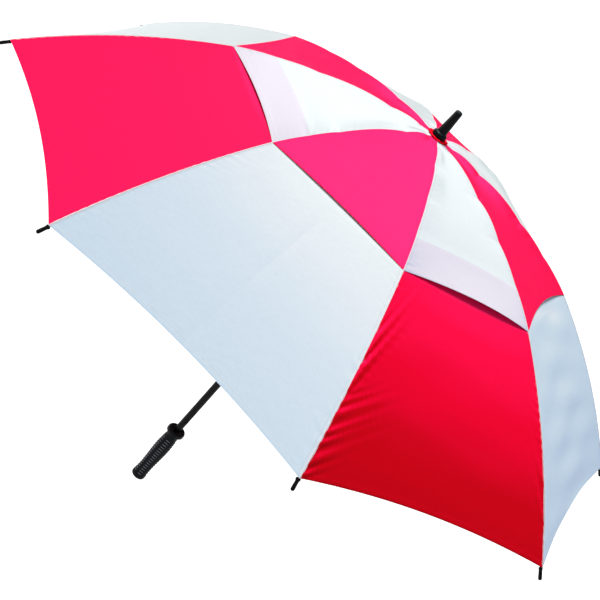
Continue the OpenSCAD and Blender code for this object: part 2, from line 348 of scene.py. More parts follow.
@dataclass(frozen=True)
class Arc:
    """One evenly bent stretch of a rib.

    Attributes:
        length: Its arc length.
        start: Its slope below horizontal at the end nearer the crown, in degrees.
        end: Its slope at the other end, in degrees.
    """

    length: float
    start: float
    end: float


@dataclass(frozen=True)
class RibLine:
    """The centre line of a rib in its upright plane, measured along the rib from the crown pivot.

    Attributes:
        radius: The crown pivot's distance from the shaft's axis.
        height: The crown pivot's height.
        arcs: The bent stretches in order.
    """

    radius: float
    height: float
    arcs: tuple[Arc, ...] = (Arc(0.380, 2.5, 25.9), Arc(0.400, 29.3, 45.9))

    def at(self, along: np.ndarray) -> tuple[np.ndarray, np.ndarray, np.ndarray]:
        """Finds points of the rib.

        Args:
            along: Arc lengths from the crown pivot; values outside the rib run straight on.

        Returns:
            The radius, height and slope (in radians) at each.
        """
        s = np.asarray(along, float)
        first = math.radians(self.arcs[0].start)
        radius = self.radius + np.minimum(s, 0) * math.cos(first)
        height = self.height - np.minimum(s, 0) * math.sin(first)
        slope = np.full_like(s, first)
        begin = 0.0
        for arc in self.arcs:
            run = np.clip(s - begin, 0, arc.length)
            start = math.radians(arc.start)
            turn = math.radians(arc.end - arc.start) * run / arc.length
            chord = run * np.sinc(turn / 2 / math.pi)
            radius = radius + chord * np.cos(start + turn / 2)
            height = height - chord * np.sin(start + turn / 2)
            slope = np.where(s >= begin, start + turn, slope)
            begin += arc.length
        beyond = np.maximum(s - begin, 0)
        return radius + beyond * np.cos(slope), height - beyond * np.sin(slope), slope

    def points(self, along: np.ndarray, lift: np.ndarray | float = 0.0) -> np.ndarray:
        """Points in the first rib's plane, lifted off the rib along its upper normal.

        Args:
            along: Arc lengths from the crown pivot.
            lift: The height above the centre line.

        Returns:
            An array of x, y, z points.
        """
        radius, height, slope = self.at(along)
        x = radius + lift * np.sin(slope)
        return np.stack([x, np.zeros_like(x), height + lift * np.cos(slope)], axis=-1)

    def axes(self, along: float) -> tuple[np.ndarray, np.ndarray]:
        """Finds the first rib's directions at one place.

        Args:
            along: The arc length from the crown pivot.

        Returns:
            The direction along the rib and the direction of its upper normal.
        """
        slope = float(self.at(np.array(along))[2])
        level, fall = math.cos(slope), math.sin(slope)
        return np.array([level, 0, -fall]), np.array([fall, 0, level])

    def on_rib(self, number: int, along: float, lift: float = 0.0) -> Vector:
        """One point on a rib by its number."""
        return Vector(turned(self.points(np.array(along), lift), RIB_PITCH * (number - 1)))


# ---------------------------------------------------------------- wiring of materials

# The Mix node has sockets for every data type; these are the ones for its factor and its colours.
COLOUR_MIX_INPUTS = (0, 6, 7)
COLOUR_MIX_OUTPUT = 2


class Wiring:
    """Adds and joins the nodes of one material or one node group."""

    def __init__(self, tree: bpy.types.NodeTree) -> None:
        """Starts on an empty tree."""
        self.tree = tree

    def node(self, kind: str, **settings: object) -> bpy.types.Node:
        """Adds a node and sets its plain properties.

        Args:
            kind: The node's type name, without the leading "ShaderNode".
            settings: Properties of the node by name.

        Returns:
            The new node.
        """
        made = self.tree.nodes.new("ShaderNode" + kind)
        for name, value in settings.items():
            setattr(made, name, value)
        return made

    def feed(self, socket: bpy.types.NodeSocket, value: object) -> None:
        """Links a socket to another socket, or sets it to a plain value.

        Args:
            socket: The input to feed.
            value: The socket or plain value that it takes; None leaves it alone.
        """
        if isinstance(value, bpy.types.NodeSocket):
            self.tree.links.new(value, socket)
        elif value is not None:
            socket.default_value = value

    def math(self, operation: str, *values: object, clamp: bool = False) -> bpy.types.NodeSocket:
        """Adds a Math node.

        Args:
            operation: What it does, by Blender's name.
            values: Its inputs in order, each a socket or a number.
            clamp: True keeps the result from 0 to 1.

        Returns:
            The result's socket.
        """
        made = self.node("Math", operation=operation, use_clamp=clamp)
        for socket, value in zip(made.inputs, values):
            self.feed(socket, value)
        return made.outputs[0]

    def vector(self, operation: str, *values: object) -> bpy.types.Node:
        """Adds a Vector Math node.

        Args:
            operation: What it does, by Blender's name.
            values: Its inputs in order, each a socket or a vector.

        Returns:
            The node.
        """
        made = self.node("VectorMath", operation=operation)
        for socket, value in zip(made.inputs, values):
            self.feed(socket, value)
        return made

    def split(self, vector: object) -> bpy.types.NodeOutputs:
        """Splits a vector.

        Args:
            vector: The socket to split.

        Returns:
            The node's outputs, named X, Y and Z.
        """
        made = self.node("SeparateXYZ")
        self.feed(made.inputs[0], vector)
        return made.outputs

    def inverse(self, value: object) -> bpy.types.NodeSocket:
        """Subtracts a value from 1."""
        return self.math("SUBTRACT", 1.0, value)

    def rise(self, value: object, low: object, high: object) -> bpy.types.NodeSocket:
        """Maps a value smoothly from 0 at low to 1 at high.

        Args:
            value: The value to map.
            low: Where the rise starts.
            high: Where it ends.

        Returns:
            The mapped value's socket.
        """
        made = self.node("MapRange", interpolation_type="SMOOTHSTEP")
        self.feed(made.inputs["Value"], value)
        self.feed(made.inputs["From Min"], low)
        self.feed(made.inputs["From Max"], high)
        return made.outputs["Result"]

    def spread(self, value: object, low: float, high: float) -> bpy.types.NodeSocket:
        """Maps a value evenly from 0..1 to low..high.

        Args:
            value: The value to map.
            low: The result at 0.
            high: The result at 1.

        Returns:
            The mapped value's socket.
        """
        made = self.node("MapRange")
        self.feed(made.inputs["Value"], value)
        made.inputs["To Min"].default_value = low
        made.inputs["To Max"].default_value = high
        return made.outputs["Result"]

    def blend(self, share: object, first: object, second: object, mode: str = "MIX") -> bpy.types.NodeSocket:
        """Mixes two colours.

        Args:
            share: How much of the second colour shows, from 0 to 1.
            first: The colour or socket at 0.
            second: The colour or socket at 1.
            mode: The mix node's blend type.

        Returns:
            The mixed colour's socket.
        """
        made = self.node("Mix", data_type="RGBA", blend_type=mode, clamp_factor=True)
        for number, value in zip(COLOUR_MIX_INPUTS, (share, first, second)):
            self.feed(made.inputs[number], value)
        return made.outputs[COLOUR_MIX_OUTPUT]

    def ramp(self, value: object, stops: tuple[tuple[float, tuple[float, ...]], ...]) -> bpy.types.NodeSocket:
        """Reads a colour off a ramp.

        Args:
            value: The place on the ramp, from 0 to 1.
            stops: (place, colour) pairs in order of place.

        Returns:
            The colour's socket.
        """
        made = self.node("ValToRGB")
        made.color_ramp.interpolation = "EASE"
        while len(made.color_ramp.elements) < len(stops):
            made.color_ramp.elements.new(0.5)
        for element, (place, colour) in zip(made.color_ramp.elements, stops):
            element.position = place
            element.color = (*colour, 1)
        self.feed(made.inputs[0], value)
        return made.outputs["Color"]

    def noise(
        self, vector: object, scale: float, detail: float = 3, rough: float = 0.5
    ) -> bpy.types.NodeSocket:
        """Adds a noise texture.

        Args:
            vector: The coordinates that it is read at.
            scale: How many waves there are in a metre.
            detail: How many finer octaves are added.
            rough: How strong each finer octave is.

        Returns:
            The noise's socket, with values about 0.5.
        """
        made = self.node("TexNoise")
        made.inputs["Scale"].default_value = scale
        made.inputs["Detail"].default_value = detail
        made.inputs["Roughness"].default_value = rough
        self.feed(made.inputs["Vector"], vector)
        return made.outputs["Fac"]

    def place(self, tree: bpy.types.NodeTree, **values: object) -> bpy.types.Node:
        """Places a shared effect.

        Args:
            tree: The effect's group.
            values: What its inputs take, by name with _ for each space.

        Returns:
            The placed group's node.
        """
        made = self.tree.nodes.new("ShaderNodeGroup")
        made.node_tree = tree
        for name, value in values.items():
            self.feed(made.inputs[name.replace("_", " ")], value)
        return made


@dataclass(frozen=True)
class Effect:
    """A shared shader effect, built once as a node group.

    Attributes:
        name: The group's name.
        inputs: (name, socket type, default) of each input.
        outputs: (name, socket type) of each output.
        build: Wires the group between its input node and its output node.
    """

    name: str
    inputs: tuple[tuple[str, str, object], ...]
    outputs: tuple[tuple[str, str], ...]
    build: Callable[[Wiring, bpy.types.Node, bpy.types.Node], None]

    def tree(self) -> bpy.types.NodeTree:
        """Builds the group the first time.

        Returns:
            The group.
        """
        found = bpy.data.node_groups.get(self.name)
        if found:
            return found
        made = bpy.data.node_groups.new(self.name, "ShaderNodeTree")
        for name, kind, default in self.inputs:
            socket = made.interface.new_socket(name=name, in_out="INPUT", socket_type=kind)
            socket.default_value = default
        for name, kind in self.outputs:
            made.interface.new_socket(name=name, in_out="OUTPUT", socket_type=kind)
        start = made.nodes.new("NodeGroupInput")
        end = made.nodes.new("NodeGroupOutput")
        self.build(Wiring(made), start, end)
        return made


NUMBER = "NodeSocketFloat"
VECTOR = "NodeSocketVector"
# The yarn's unevenness: its waves in a metre across a thread, and how much slower it changes along one.
YARN_SCALE = 900
YARN_DRAWN = 0.06
# How deep the groove beside a row of stitches is, as a share of the thread's height, and how wide in threads.
GROOVE_DEPTH = 0.8
GROOVE_WIDTH = 4.0


def build_weave(wires: Wiring, start: bpy.types.Node, end: bpy.types.Node) -> None:
    """Plain weave: threads that pass over and under, with uneven yarn.

    Args:
        wires: The group's wiring.
        start: The group's input node.
        end: The group's output node.
    """
    parts = wires.split(start.outputs["Cloth"])
    angle = wires.math("DIVIDE", 2 * math.pi, start.outputs["Pitch"])
    across = wires.math("SINE", wires.math("MULTIPLY", parts["X"], angle))
    along = wires.math("SINE", wires.math("MULTIPLY", parts["Y"], angle))
    crossings = wires.math("MULTIPLY", across, along)
    wires.feed(end.inputs["Height"], wires.math("MULTIPLY_ADD", crossings, 0.5, 0.5))
    threads = [
        wires.noise(wires.vector("MULTIPLY", start.outputs["Cloth"], drawn).outputs[0], YARN_SCALE, 1)
        for drawn in ((1.0, YARN_DRAWN, 1.0), (YARN_DRAWN, 1.0, 1.0))
    ]
    wires.feed(end.inputs["Yarn"], wires.math("MULTIPLY", wires.math("ADD", *threads), 0.5))


def build_stitches(wires: Wiring, start: bpy.types.Node, end: bpy.types.Node) -> None:
    """A row of short thread stitches at a set distance from an edge.

    Args:
        wires: The group's wiring.
        start: The group's input node.
        end: The group's output node.
    """
    off = wires.math("ABSOLUTE", wires.math("SUBTRACT", start.outputs["From Edge"], start.outputs["Inset"]))
    width = start.outputs["Width"]
    line = wires.inverse(wires.rise(off, wires.math("MULTIPLY", width, 0.4), width))
    step = wires.math("FRACT", wires.math("DIVIDE", start.outputs["Along"], start.outputs["Stitch"]))
    middle = wires.math("ABSOLUTE", wires.math("SUBTRACT", step, 0.5))
    dash = wires.inverse(wires.rise(middle, 0.3, 0.42))
    mask = wires.math("MULTIPLY", line, dash)
    wires.feed(end.inputs["Thread"], mask)
    groove = wires.inverse(wires.rise(off, 0.0, wires.math("MULTIPLY", width, GROOVE_WIDTH)))
    sunk = wires.math("MULTIPLY", groove, GROOVE_DEPTH)
    wires.feed(end.inputs["Height"], wires.math("SUBTRACT", mask, sunk))


def build_facing(wires: Wiring, start: bpy.types.Node, end: bpy.types.Node) -> None:
    """How squarely the surface faces a fixed direction: 0 turned away, 0.5 edge on, 1 square to it; it sets
    where light and shade are painted into colour.

    Args:
        wires: The group's wiring.
        start: The group's input node.
        end: The group's output node.
    """
    surface = wires.node("NewGeometry")
    dot = wires.vector("DOT_PRODUCT", surface.outputs["Normal"], start.outputs["Direction"]).outputs["Value"]
    wires.feed(end.inputs["Facing"], wires.math("MULTIPLY_ADD", dot, 0.5, 0.5, clamp=True))


def build_grain(wires: Wiring, start: bpy.types.Node, end: bpy.types.Node) -> None:
    """The fine leathery grain and slow mottle of moulded plastic.

    Args:
        wires: The group's wiring.
        start: The group's input node.
        end: The group's output node.
    """
    spot = wires.node("TexCoord").outputs["Object"]
    scaled = wires.vector("SCALE", spot)
    wires.feed(scaled.inputs["Scale"], start.outputs["Scale"])
    cells = wires.node("TexVoronoi", feature="SMOOTH_F1")
    cells.inputs["Scale"].default_value = 1
    cells.inputs["Smoothness"].default_value = 0.6
    wires.feed(cells.inputs["Vector"], scaled.outputs[0])
    fine = wires.noise(scaled.outputs[0], 2.3, 4, 0.6)
    wires.feed(end.inputs["Height"], wires.math("MULTIPLY_ADD", fine, 0.6, cells.outputs["Distance"]))
    wires.feed(end.inputs["Mottle"], wires.noise(spot, 55, 4, 0.55))


def build_rubs(wires: Wiring, start: bpy.types.Node, end: bpy.types.Node) -> None:
    """Short rubbed streaks and polished patches, as from handling.

    Args:
        wires: The group's wiring.
        start: The group's input node.
        end: The group's output node.
    """
    spot = wires.node("TexCoord").outputs["Object"]
    drawn = wires.vector("MULTIPLY", spot, start.outputs["Stretch"]).outputs[0]
    streak = wires.noise(drawn, 1.0, 5, 0.65)
    patch = wires.noise(spot, 38, 2, 0.5)
    edge = wires.inverse(start.outputs["Amount"])
    streaks = wires.rise(streak, wires.math("MULTIPLY", edge, 0.72), wires.math("ADD", edge, 0.02))
    wires.feed(end.inputs["Mask"], wires.math("MULTIPLY", streaks, wires.rise(patch, 0.42, 0.62)))


def build_dust(wires: Wiring, start: bpy.types.Node, end: bpy.types.Node) -> None:
    """A light film on what faces up.

    Args:
        wires: The group's wiring.
        start: The group's input node.
        end: The group's output node.
    """
    spot = wires.node("TexCoord").outputs["Object"]
    up = wires.rise(wires.split(wires.node("NewGeometry").outputs["Normal"])["Z"], 0.25, 1.0)
    specks = wires.rise(wires.noise(spot, 160, 5, 0.7), 0.42, 0.75)
    wires.feed(end.inputs["Mask"], wires.math("MULTIPLY", up, specks))


WEAVE = Effect("Weave", (("Cloth", VECTOR, (0, 0, 0)), ("Pitch", NUMBER, 0.0006)),
               (("Height", NUMBER), ("Yarn", NUMBER)), build_weave)
STITCHES = Effect("Stitches", (("From Edge", NUMBER, 0.0), ("Along", NUMBER, 0.0), ("Inset", NUMBER, 0.008),
                               ("Width", NUMBER, 0.0004), ("Stitch", NUMBER, 0.0028)),
                  (("Thread", NUMBER), ("Height", NUMBER)), build_stitches)
FACING = Effect("Facing", (("Direction", VECTOR, LIGHT_FROM),), (("Facing", NUMBER),), build_facing)
GRAIN = Effect("Moulded grain", (("Scale", NUMBER, 1500.0),),
               (("Height", NUMBER), ("Mottle", NUMBER)), build_grain)
RUBS = Effect("Rubs", (("Stretch", VECTOR, (600, 600, 60)), ("Amount", NUMBER, 0.4)),
              (("Mask", NUMBER),), build_rubs)
DUST = Effect("Dust", (), (("Mask", NUMBER),), build_dust)
DUST_SHARE = 0.012
DUST_COLOUR = (0.30, 0.30, 0.29)


class Finish:
    """A material made the first time that it is asked for."""

    title: str

    def material(self) -> bpy.types.Material:
        """Makes the material the first time.

        Returns:
            The material.
        """
        found = bpy.data.materials.get(self.title)
        if found:
            return found
        made = bpy.data.materials.new(self.title)
        made.use_nodes = True
        made.node_tree.nodes.clear()
        wires = Wiring(made.node_tree)
        surface = wires.node("BsdfPrincipled")
        out = wires.node("OutputMaterial")
        made.node_tree.links.new(surface.outputs[0], out.inputs[0])
        self.wire(wires, surface)
        return made

    def wire(self, wires: Wiring, surface: bpy.types.Node) -> None:
        """Wires the finish into its surface shader."""
        raise NotImplementedError


def dusted(wires: Wiring, colour: object) -> bpy.types.NodeSocket:
    """Lays a faint film of dust over a colour.

    Args:
        wires: The material's wiring.
        colour: The clean colour.

    Returns:
        The dusty colour's socket.
    """
    film = wires.math("MULTIPLY", wires.place(DUST.tree()).outputs["Mask"], DUST_SHARE)
    return wires.blend(film, colour, (*DUST_COLOUR, 1))


def bumped(wires: Wiring, surface: bpy.types.Node, *layers: tuple[object, float]) -> None:
    """Feeds a surface's Normal with one bump on another.

    Args:
        wires: The material's wiring.
        surface: The shader whose Normal is fed.
        layers: (height, depth in metres) of each bump.
    """
    normal = None
    for height, depth in layers:
        bump = wires.node("Bump")
        bump.inputs["Strength"].default_value = 1.0
        bump.inputs["Distance"].default_value = depth
        wires.feed(bump.inputs["Height"], height)
        wires.feed(bump.inputs["Normal"], normal)
        normal = bump.outputs[0]
    wires.feed(surface.inputs["Normal"], normal)


# Painted light and shade: each ramp paints the cloth's colour by how squarely it faces the key light, from
# cloth turned away from the light to cloth square to it.
CLOTH_PAINTED_LIGHT_AND_SHADE = {
    Dye.RED: ((0.40, (0.78, 0.006, 0.035)), (0.62, (0.42, 0.0005, 0.004)), (0.70, (0.63, 0.0008, 0.008)),
              (0.74, (0.87, 0.001, 0.027)), (0.77, (0.97, 0.0033, 0.055)), (0.80, (1.0, 0.0054, 0.074)),
              (0.90, (1.0, 0.008, 0.084)), (1.0, (1.0, 0.010, 0.092))),
    Dye.WHITE: ((0.40, (0.62, 0.66, 0.69)), (0.66, (0.50, 0.62, 0.78)), (0.72, (0.53, 0.65, 0.78)),
                (0.80, (0.56, 0.655, 0.74)), (0.85, (0.65, 0.69, 0.735)), (0.885, (0.545, 0.605, 0.610)),
                (0.912, (0.643, 0.682, 0.692)), (0.928, (0.645, 0.676, 0.683)), (0.94, (0.572, 0.620, 0.635)),
                (0.965, (0.545, 0.59, 0.605)), (0.99, (0.515, 0.558, 0.572))),
}
# What white cloth is multiplied by where red cloth lies close behind it.
SHOW_THROUGH = (1.0, 0.885, 0.965)
# The colours painted on crown cloth that faces up: painted light, not dye.
CROWN_PAINTED_LIGHT_TONES = {Dye.RED: (1.0, 0.025, 0.18), Dye.WHITE: (0.70, 0.75, 0.77)}
THREAD_TONES = {Dye.RED: (0.80, 0.006, 0.05), Dye.WHITE: (0.74, 0.80, 0.84)}
SHEEN_TONES = {Dye.RED: (1.0, 0.05, 0.15), Dye.WHITE: (0.9, 0.95, 1.0)}
CLOTH_SPECULAR = {Dye.RED: 0.02, Dye.WHITE: 0.12}
# Painted light: the direction that the crown's cloth faces where it is painted brighter, and the facing
# values where that painted light starts and is complete.
CROWN_PAINTED_LIGHT_FACING = (0.239, -0.099, 0.966)
CROWN_PAINTED_LIGHT_REACH = (0.963, 0.992)
# Painted highlight: the direction that the moulded parts' painted highlights face.
PAINTED_HIGHLIGHT_FACING = (0.5, -0.862, 0.08)


@dataclass(frozen=True)
class ClothFinish(Finish):
    """Close-woven polyester cloth.

    Attributes:
        dye: The cloth's colour.
        layer: The stretch of the gore it is on.
        weave_pitch: The distance between threads.
        weave_depth: How deep the weave is.
        stitch_depth: How high a stitch stands.
        crease_depth: How deep the cloth's fine creases are.
        seam_allowance: How far from a seam its stitches run.
        hem_width: How far from the hem its stitches run.
        overlap: How far above the hem the cloth behind begins to show through.
        tint: A colour that the dye is multiplied by, on the rosette.
    """

    dye: Dye
    layer: Layer
    weave_pitch: float = 0.6 * MM
    weave_depth: float = 0.025 * MM
    stitch_depth: float = 0.25 * MM
    crease_depth: float = 0.5 * MM
    seam_allowance: float = 0.0042
    hem_width: float = 0.0085
    overlap: float = 0.074
    tint: Colour | None = None

    @property
    def title(self) -> str:
        """The material's name."""
        return f"cloth {self.dye.value} {'rosette' if self.tint else self.layer.value}"

    def wire(self, wires: Wiring, surface: bpy.types.Node) -> None:
        """Wires painted light and shade by facing the key light, yarn, show-through, stitches and weave.

        Args:
            wires: The material's wiring.
            surface: The shader that is fed.
        """
        cloth = wires.node("UVMap", uv_map="cloth").outputs[0]
        edges = wires.split(wires.node("UVMap", uv_map="edges").outputs[0])
        from_hem = edges["Y"]
        place = wires.split(cloth)
        weave = wires.place(WEAVE.tree(), Cloth=cloth, Pitch=self.weave_pitch)
        seam = wires.place(STITCHES.tree(), From_Edge=edges["X"], Along=place["Y"], Inset=self.seam_allowance)
        hem = wires.place(STITCHES.tree(), From_Edge=from_hem, Along=place["X"], Inset=self.hem_width)
        facing = wires.place(FACING.tree())
        # Painted light and shade: the cloth's colour is read off how squarely it faces the key light.
        colour = wires.ramp(facing.outputs["Facing"], CLOTH_PAINTED_LIGHT_AND_SHADE[self.dye])
        # Painted light: crown cloth that faces one fixed direction is painted brighter.
        crown = wires.place(FACING.tree(), Direction=CROWN_PAINTED_LIGHT_FACING).outputs["Facing"]
        colour = wires.blend(wires.rise(crown, *CROWN_PAINTED_LIGHT_REACH), colour, (*CROWN_PAINTED_LIGHT_TONES[self.dye], 1))
        if self.tint:
            colour = wires.blend(1.0, colour, (*self.tint, 1), "MULTIPLY")
        if self.dye is Dye.WHITE and self.layer is Layer.UPPER:
            colour = self.show_through(wires, colour, cloth, from_hem)
        yarn = wires.spread(weave.outputs["Yarn"], 0.93, 1.05)
        shade = wires.node("CombineColor")
        for socket in shade.inputs:
            wires.feed(socket, yarn)
        colour = wires.blend(1.0, colour, shade.outputs[0], "MULTIPLY")
        thread = wires.math("MAXIMUM", hem.outputs["Thread"], seam.outputs["Thread"])
        colour = wires.blend(wires.math("MULTIPLY", thread, 0.35), colour, (*THREAD_TONES[self.dye], 1))
        wires.feed(surface.inputs["Base Color"], colour)
        drift = wires.noise(cloth, 26, 3)
        wires.feed(surface.inputs["Roughness"], wires.spread(drift, 0.50, 0.68))
        surface.inputs["Specular IOR Level"].default_value = CLOTH_SPECULAR[self.dye]
        surface.inputs["Sheen Weight"].default_value = 0.03
        surface.inputs["Sheen Roughness"].default_value = 0.5
        surface.inputs["Sheen Tint"].default_value = (*SHEEN_TONES[self.dye], 1)
        stitched = wires.math("ADD", hem.outputs["Height"], seam.outputs["Height"])
        crease = wires.noise(cloth, 60, 3, 0.6)
        depths = (self.weave_depth, self.stitch_depth, self.crease_depth)
        bumped(wires, surface, *zip((weave.outputs["Height"], stitched, crease), depths))

    def show_through(
        self, wires: Wiring, colour: object, cloth: object, from_hem: object
    ) -> bpy.types.NodeSocket:
        """Tints white cloth where red cloth lies close behind it.

        Args:
            wires: The material's wiring.
            colour: The cloth's own colour.
            cloth: The cloth's coordinates.
            from_hem: The distance to the hem.

        Returns:
            The tinted colour.
        """
        wander = wires.spread(wires.noise(cloth, 18, 2), -1.5 * MM, 1.5 * MM)
        edge = (self.overlap - 1.2 * MM, self.overlap + 0.8 * MM)
        inside = wires.inverse(wires.rise(wires.math("ADD", from_hem, wander), *edge))
        return wires.blend(inside, colour, wires.blend(1.0, colour, (*SHOW_THROUGH, 1), "MULTIPLY"))


@dataclass(frozen=True)
class ThreadFinish(Finish):
    """Twisted thread and the narrow tape that binds each seam.

    Attributes:
        title: The material's name.
        colour: The thread's colour.
    """

    title: str
    colour: Colour

    def wire(self, wires: Wiring, surface: bpy.types.Node) -> None:
        """Wires the twist and its light variation.

        Args:
            wires: The material's wiring.
            surface: The shader that is fed.
        """
        spot = wires.node("TexCoord").outputs["Object"]
        twist = wires.node("TexWave", bands_direction="DIAGONAL")
        twist.inputs["Scale"].default_value = 520
        twist.inputs["Distortion"].default_value = 0.6
        wires.feed(twist.inputs["Vector"], spot)
        drift = wires.noise(spot, 300, 3)
        dark = tuple(0.86 * c for c in self.colour)
        wires.feed(surface.inputs["Base Color"], wires.blend(drift, (*self.colour, 1), (*dark, 1)))
        wires.feed(surface.inputs["Roughness"], wires.spread(twist.outputs["Fac"], 0.55, 0.75))
        surface.inputs["Sheen Weight"].default_value = 0.1
        bumped(wires, surface, (twist.outputs["Fac"], 0.12 * MM))


@dataclass(frozen=True)
class MouldedFinish(Finish):
    """Black moulded plastic or rubber.

    Attributes:
        title: The material's name.
        colour: Its base colour.
        worn: Its colour where it is rubbed.
        gloss: Its lowest and highest roughness.
        grain_scale: How many grains there are in a metre.
        grain_depth: How deep the grain is.
        specular: How strongly it reflects.
        painted_highlight: The painted highlight colour of its marked parts on the side that faces one fixed
            direction.
    """

    title: str
    colour: Colour = (0.0026, 0.0031, 0.0037)
    worn: Colour = (0.009, 0.010, 0.011)
    gloss: tuple[float, float] = (0.24, 0.42)
    grain_scale: float = 1600.0
    grain_depth: float = 0.03 * MM
    specular: float = 0.07
    painted_highlight: Colour | None = None

    def wire(self, wires: Wiring, surface: bpy.types.Node) -> None:
        """Wires grain, mottle, rubs, dust and a painted highlight.

        Args:
            wires: The material's wiring.
            surface: The shader that is fed.
        """
        grain = wires.place(GRAIN.tree(), Scale=self.grain_scale)
        rubs = wires.place(RUBS.tree(), Stretch=(420, 420, 90), Amount=0.42)
        light = tuple(1.7 * c for c in self.colour)
        colour = wires.blend(grain.outputs["Mottle"], (*self.colour, 1), (*light, 1))
        colour = wires.blend(wires.math("MULTIPLY", rubs.outputs["Mask"], 0.6), colour, (*self.worn, 1))
        colour = dusted(wires, colour)
        # Painted highlight: marked parts are painted lighter on the side that faces one fixed direction.
        if self.painted_highlight:
            marks = wires.split(wires.node("UVMap", uv_map="marks").outputs[0])
            side = wires.place(FACING.tree(), Direction=PAINTED_HIGHLIGHT_FACING).outputs["Facing"]
            painted_highlight_share = wires.math("MULTIPLY", wires.rise(side, 0.25, 1.0), marks["X"])
            colour = wires.blend(painted_highlight_share, colour, (*self.painted_highlight, 1))
        wires.feed(surface.inputs["Base Color"], colour)
        rough = wires.spread(grain.outputs["Mottle"], *self.gloss)
        rubbed = wires.math("MULTIPLY", rubs.outputs["Mask"], 0.12)
        wires.feed(surface.inputs["Roughness"], wires.math("ADD", rough, rubbed))
        surface.inputs["Specular IOR Level"].default_value = self.specular
        bumped(wires, surface, (grain.outputs["Height"], self.grain_depth))


@dataclass(frozen=True)
class EnamelFinish(Finish):
    """Baked black enamel on steel, or the gloss of a pultruded glass-fibre rod.

    Attributes:
        title: The material's name.
        colour: Its base colour.
        chipped: What shows where it is worn through.
        gloss: Its lowest and highest roughness.
        drawn: How the fine lines stretch: the counts per metre along x, y and z.
        line_depth: How deep those lines are.
        metallic: How metallic it is where it is worn through.
    """

    title: str
    colour: Colour = (0.0026, 0.0030, 0.0036)
    chipped: Colour = (0.02, 0.021, 0.022)
    gloss: tuple[float, float] = (0.22, 0.36)
    drawn: tuple[float, float, float] = (900.0, 900.0, 30.0)
    line_depth: float = 0.02 * MM
    metallic: float = 0.5

    def wire(self, wires: Wiring, surface: bpy.types.Node) -> None:
        """Wires drawn lines, orange peel, chips and dust.

        Args:
            wires: The material's wiring.
            surface: The shader that is fed.
        """
        spot = wires.node("TexCoord").outputs["Object"]
        lines = wires.noise(wires.vector("MULTIPLY", spot, self.drawn).outputs[0], 1.0, 3, 0.6)
        peel = wires.noise(spot, 900, 2, 0.5)
        rubs = wires.place(RUBS.tree(), Stretch=(500, 500, 70), Amount=0.34)
        light = tuple(1.8 * c for c in self.colour)
        colour = wires.blend(lines, (*self.colour, 1), (*light, 1))
        chips = wires.math("MULTIPLY", rubs.outputs["Mask"], 0.45)
        colour = wires.blend(chips, colour, (*self.chipped, 1))
        wires.feed(surface.inputs["Base Color"], dusted(wires, colour))
        wires.feed(surface.inputs["Metallic"], wires.math("MULTIPLY", chips, self.metallic))
        wires.feed(surface.inputs["Roughness"], wires.spread(lines, *self.gloss))
        surface.inputs["Specular IOR Level"].default_value = 0.09
        bumped(wires, surface, (lines, self.line_depth), (peel, 0.01 * MM))


@dataclass(frozen=True)
class MetalFinish(Finish):
    """Bright drawn wire or spring strip.

    Attributes:
        title: The material's name.
        colour: Its base colour.
        stained: Its colour where it is dull.
    """

    title: str
    colour: Colour = (0.62, 0.61, 0.59)
    stained: Colour = (0.30, 0.28, 0.25)

    def wire(self, wires: Wiring, surface: bpy.types.Node) -> None:
        """Wires drawing lines and dull stains.

        Args:
            wires: The material's wiring.
            surface: The shader that is fed.
        """
        spot = wires.node("TexCoord").outputs["Object"]
        lines = wires.noise(wires.vector("MULTIPLY", spot, (3000.0, 3000.0, 120.0)).outputs[0], 1.0, 3, 0.6)
        stains = wires.rise(wires.noise(spot, 240, 4, 0.6), 0.48, 0.72)
        colour = wires.blend(stains, (*self.colour, 1), (*self.stained, 1))
        wires.feed(surface.inputs["Base Color"], colour)
        wires.feed(surface.inputs["Roughness"], wires.spread(lines, 0.22, 0.42))
        surface.inputs["Metallic"].default_value = 1.0
        bumped(wires, surface, (lines, 0.01 * MM))


# The grip's and the ferrule's last colours are painted highlights on their marked parts.
GRIP_RUBBER = MouldedFinish("grip rubber", gloss=(0.34, 0.5), grain_scale=2200.0, grain_depth=0.04 * MM,
                            painted_highlight=(0.17, 0.205, 0.23))
BLACK_PLASTIC = MouldedFinish("black moulding", gloss=(0.20, 0.36))
FERRULE_PLASTIC = MouldedFinish("ferrule moulding", gloss=(0.18, 0.30), painted_highlight=(0.045, 0.058, 0.062))
SHAFT_ENAMEL = EnamelFinish("shaft enamel")
FRAME_ENAMEL = EnamelFinish("stretcher enamel", (0.004, 0.0045, 0.005), drawn=(400.0, 400.0, 400.0))
ROD_GLASS_FIBRE = EnamelFinish("glass fibre rod", (0.004, 0.0045, 0.005), (0.012, 0.013, 0.014), (0.16, 0.28),
                               (700.0, 700.0, 700.0), 0.015 * MM, 0.0)
BRIGHT_WIRE = MetalFinish("bright wire")
SPRING_STRIP = MetalFinish("blackened spring strip", (0.02, 0.021, 0.022), (0.01, 0.01, 0.011))
WHITE_THREAD = ThreadFinish("seam binding", (0.74, 0.74, 0.78))
ROSETTE_CLOTH = ClothFinish(Dye.RED, Layer.SKIRT, tint=(1.0, 0.30, 0.26))


def attach(piece: bpy.types.Object, finish: Finish, slot: str, *nodes: str) -> None:
    """Dresses a piece and hides the CAD nodes that it stands for.

    Args:
        piece: The piece.
        finish: Its finish.
        slot: The record's material slot; not used.
        nodes: CAD nodes that it replaces.
    """
    piece.data.materials.clear()
    piece.data.materials.append(finish.material())
    if nodes:
        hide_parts(*nodes)
    LOG.info("piece %s: %s, %d faces", piece.name, finish.title, len(piece.data.polygons))


# ---------------------------------------------------------------- canopy


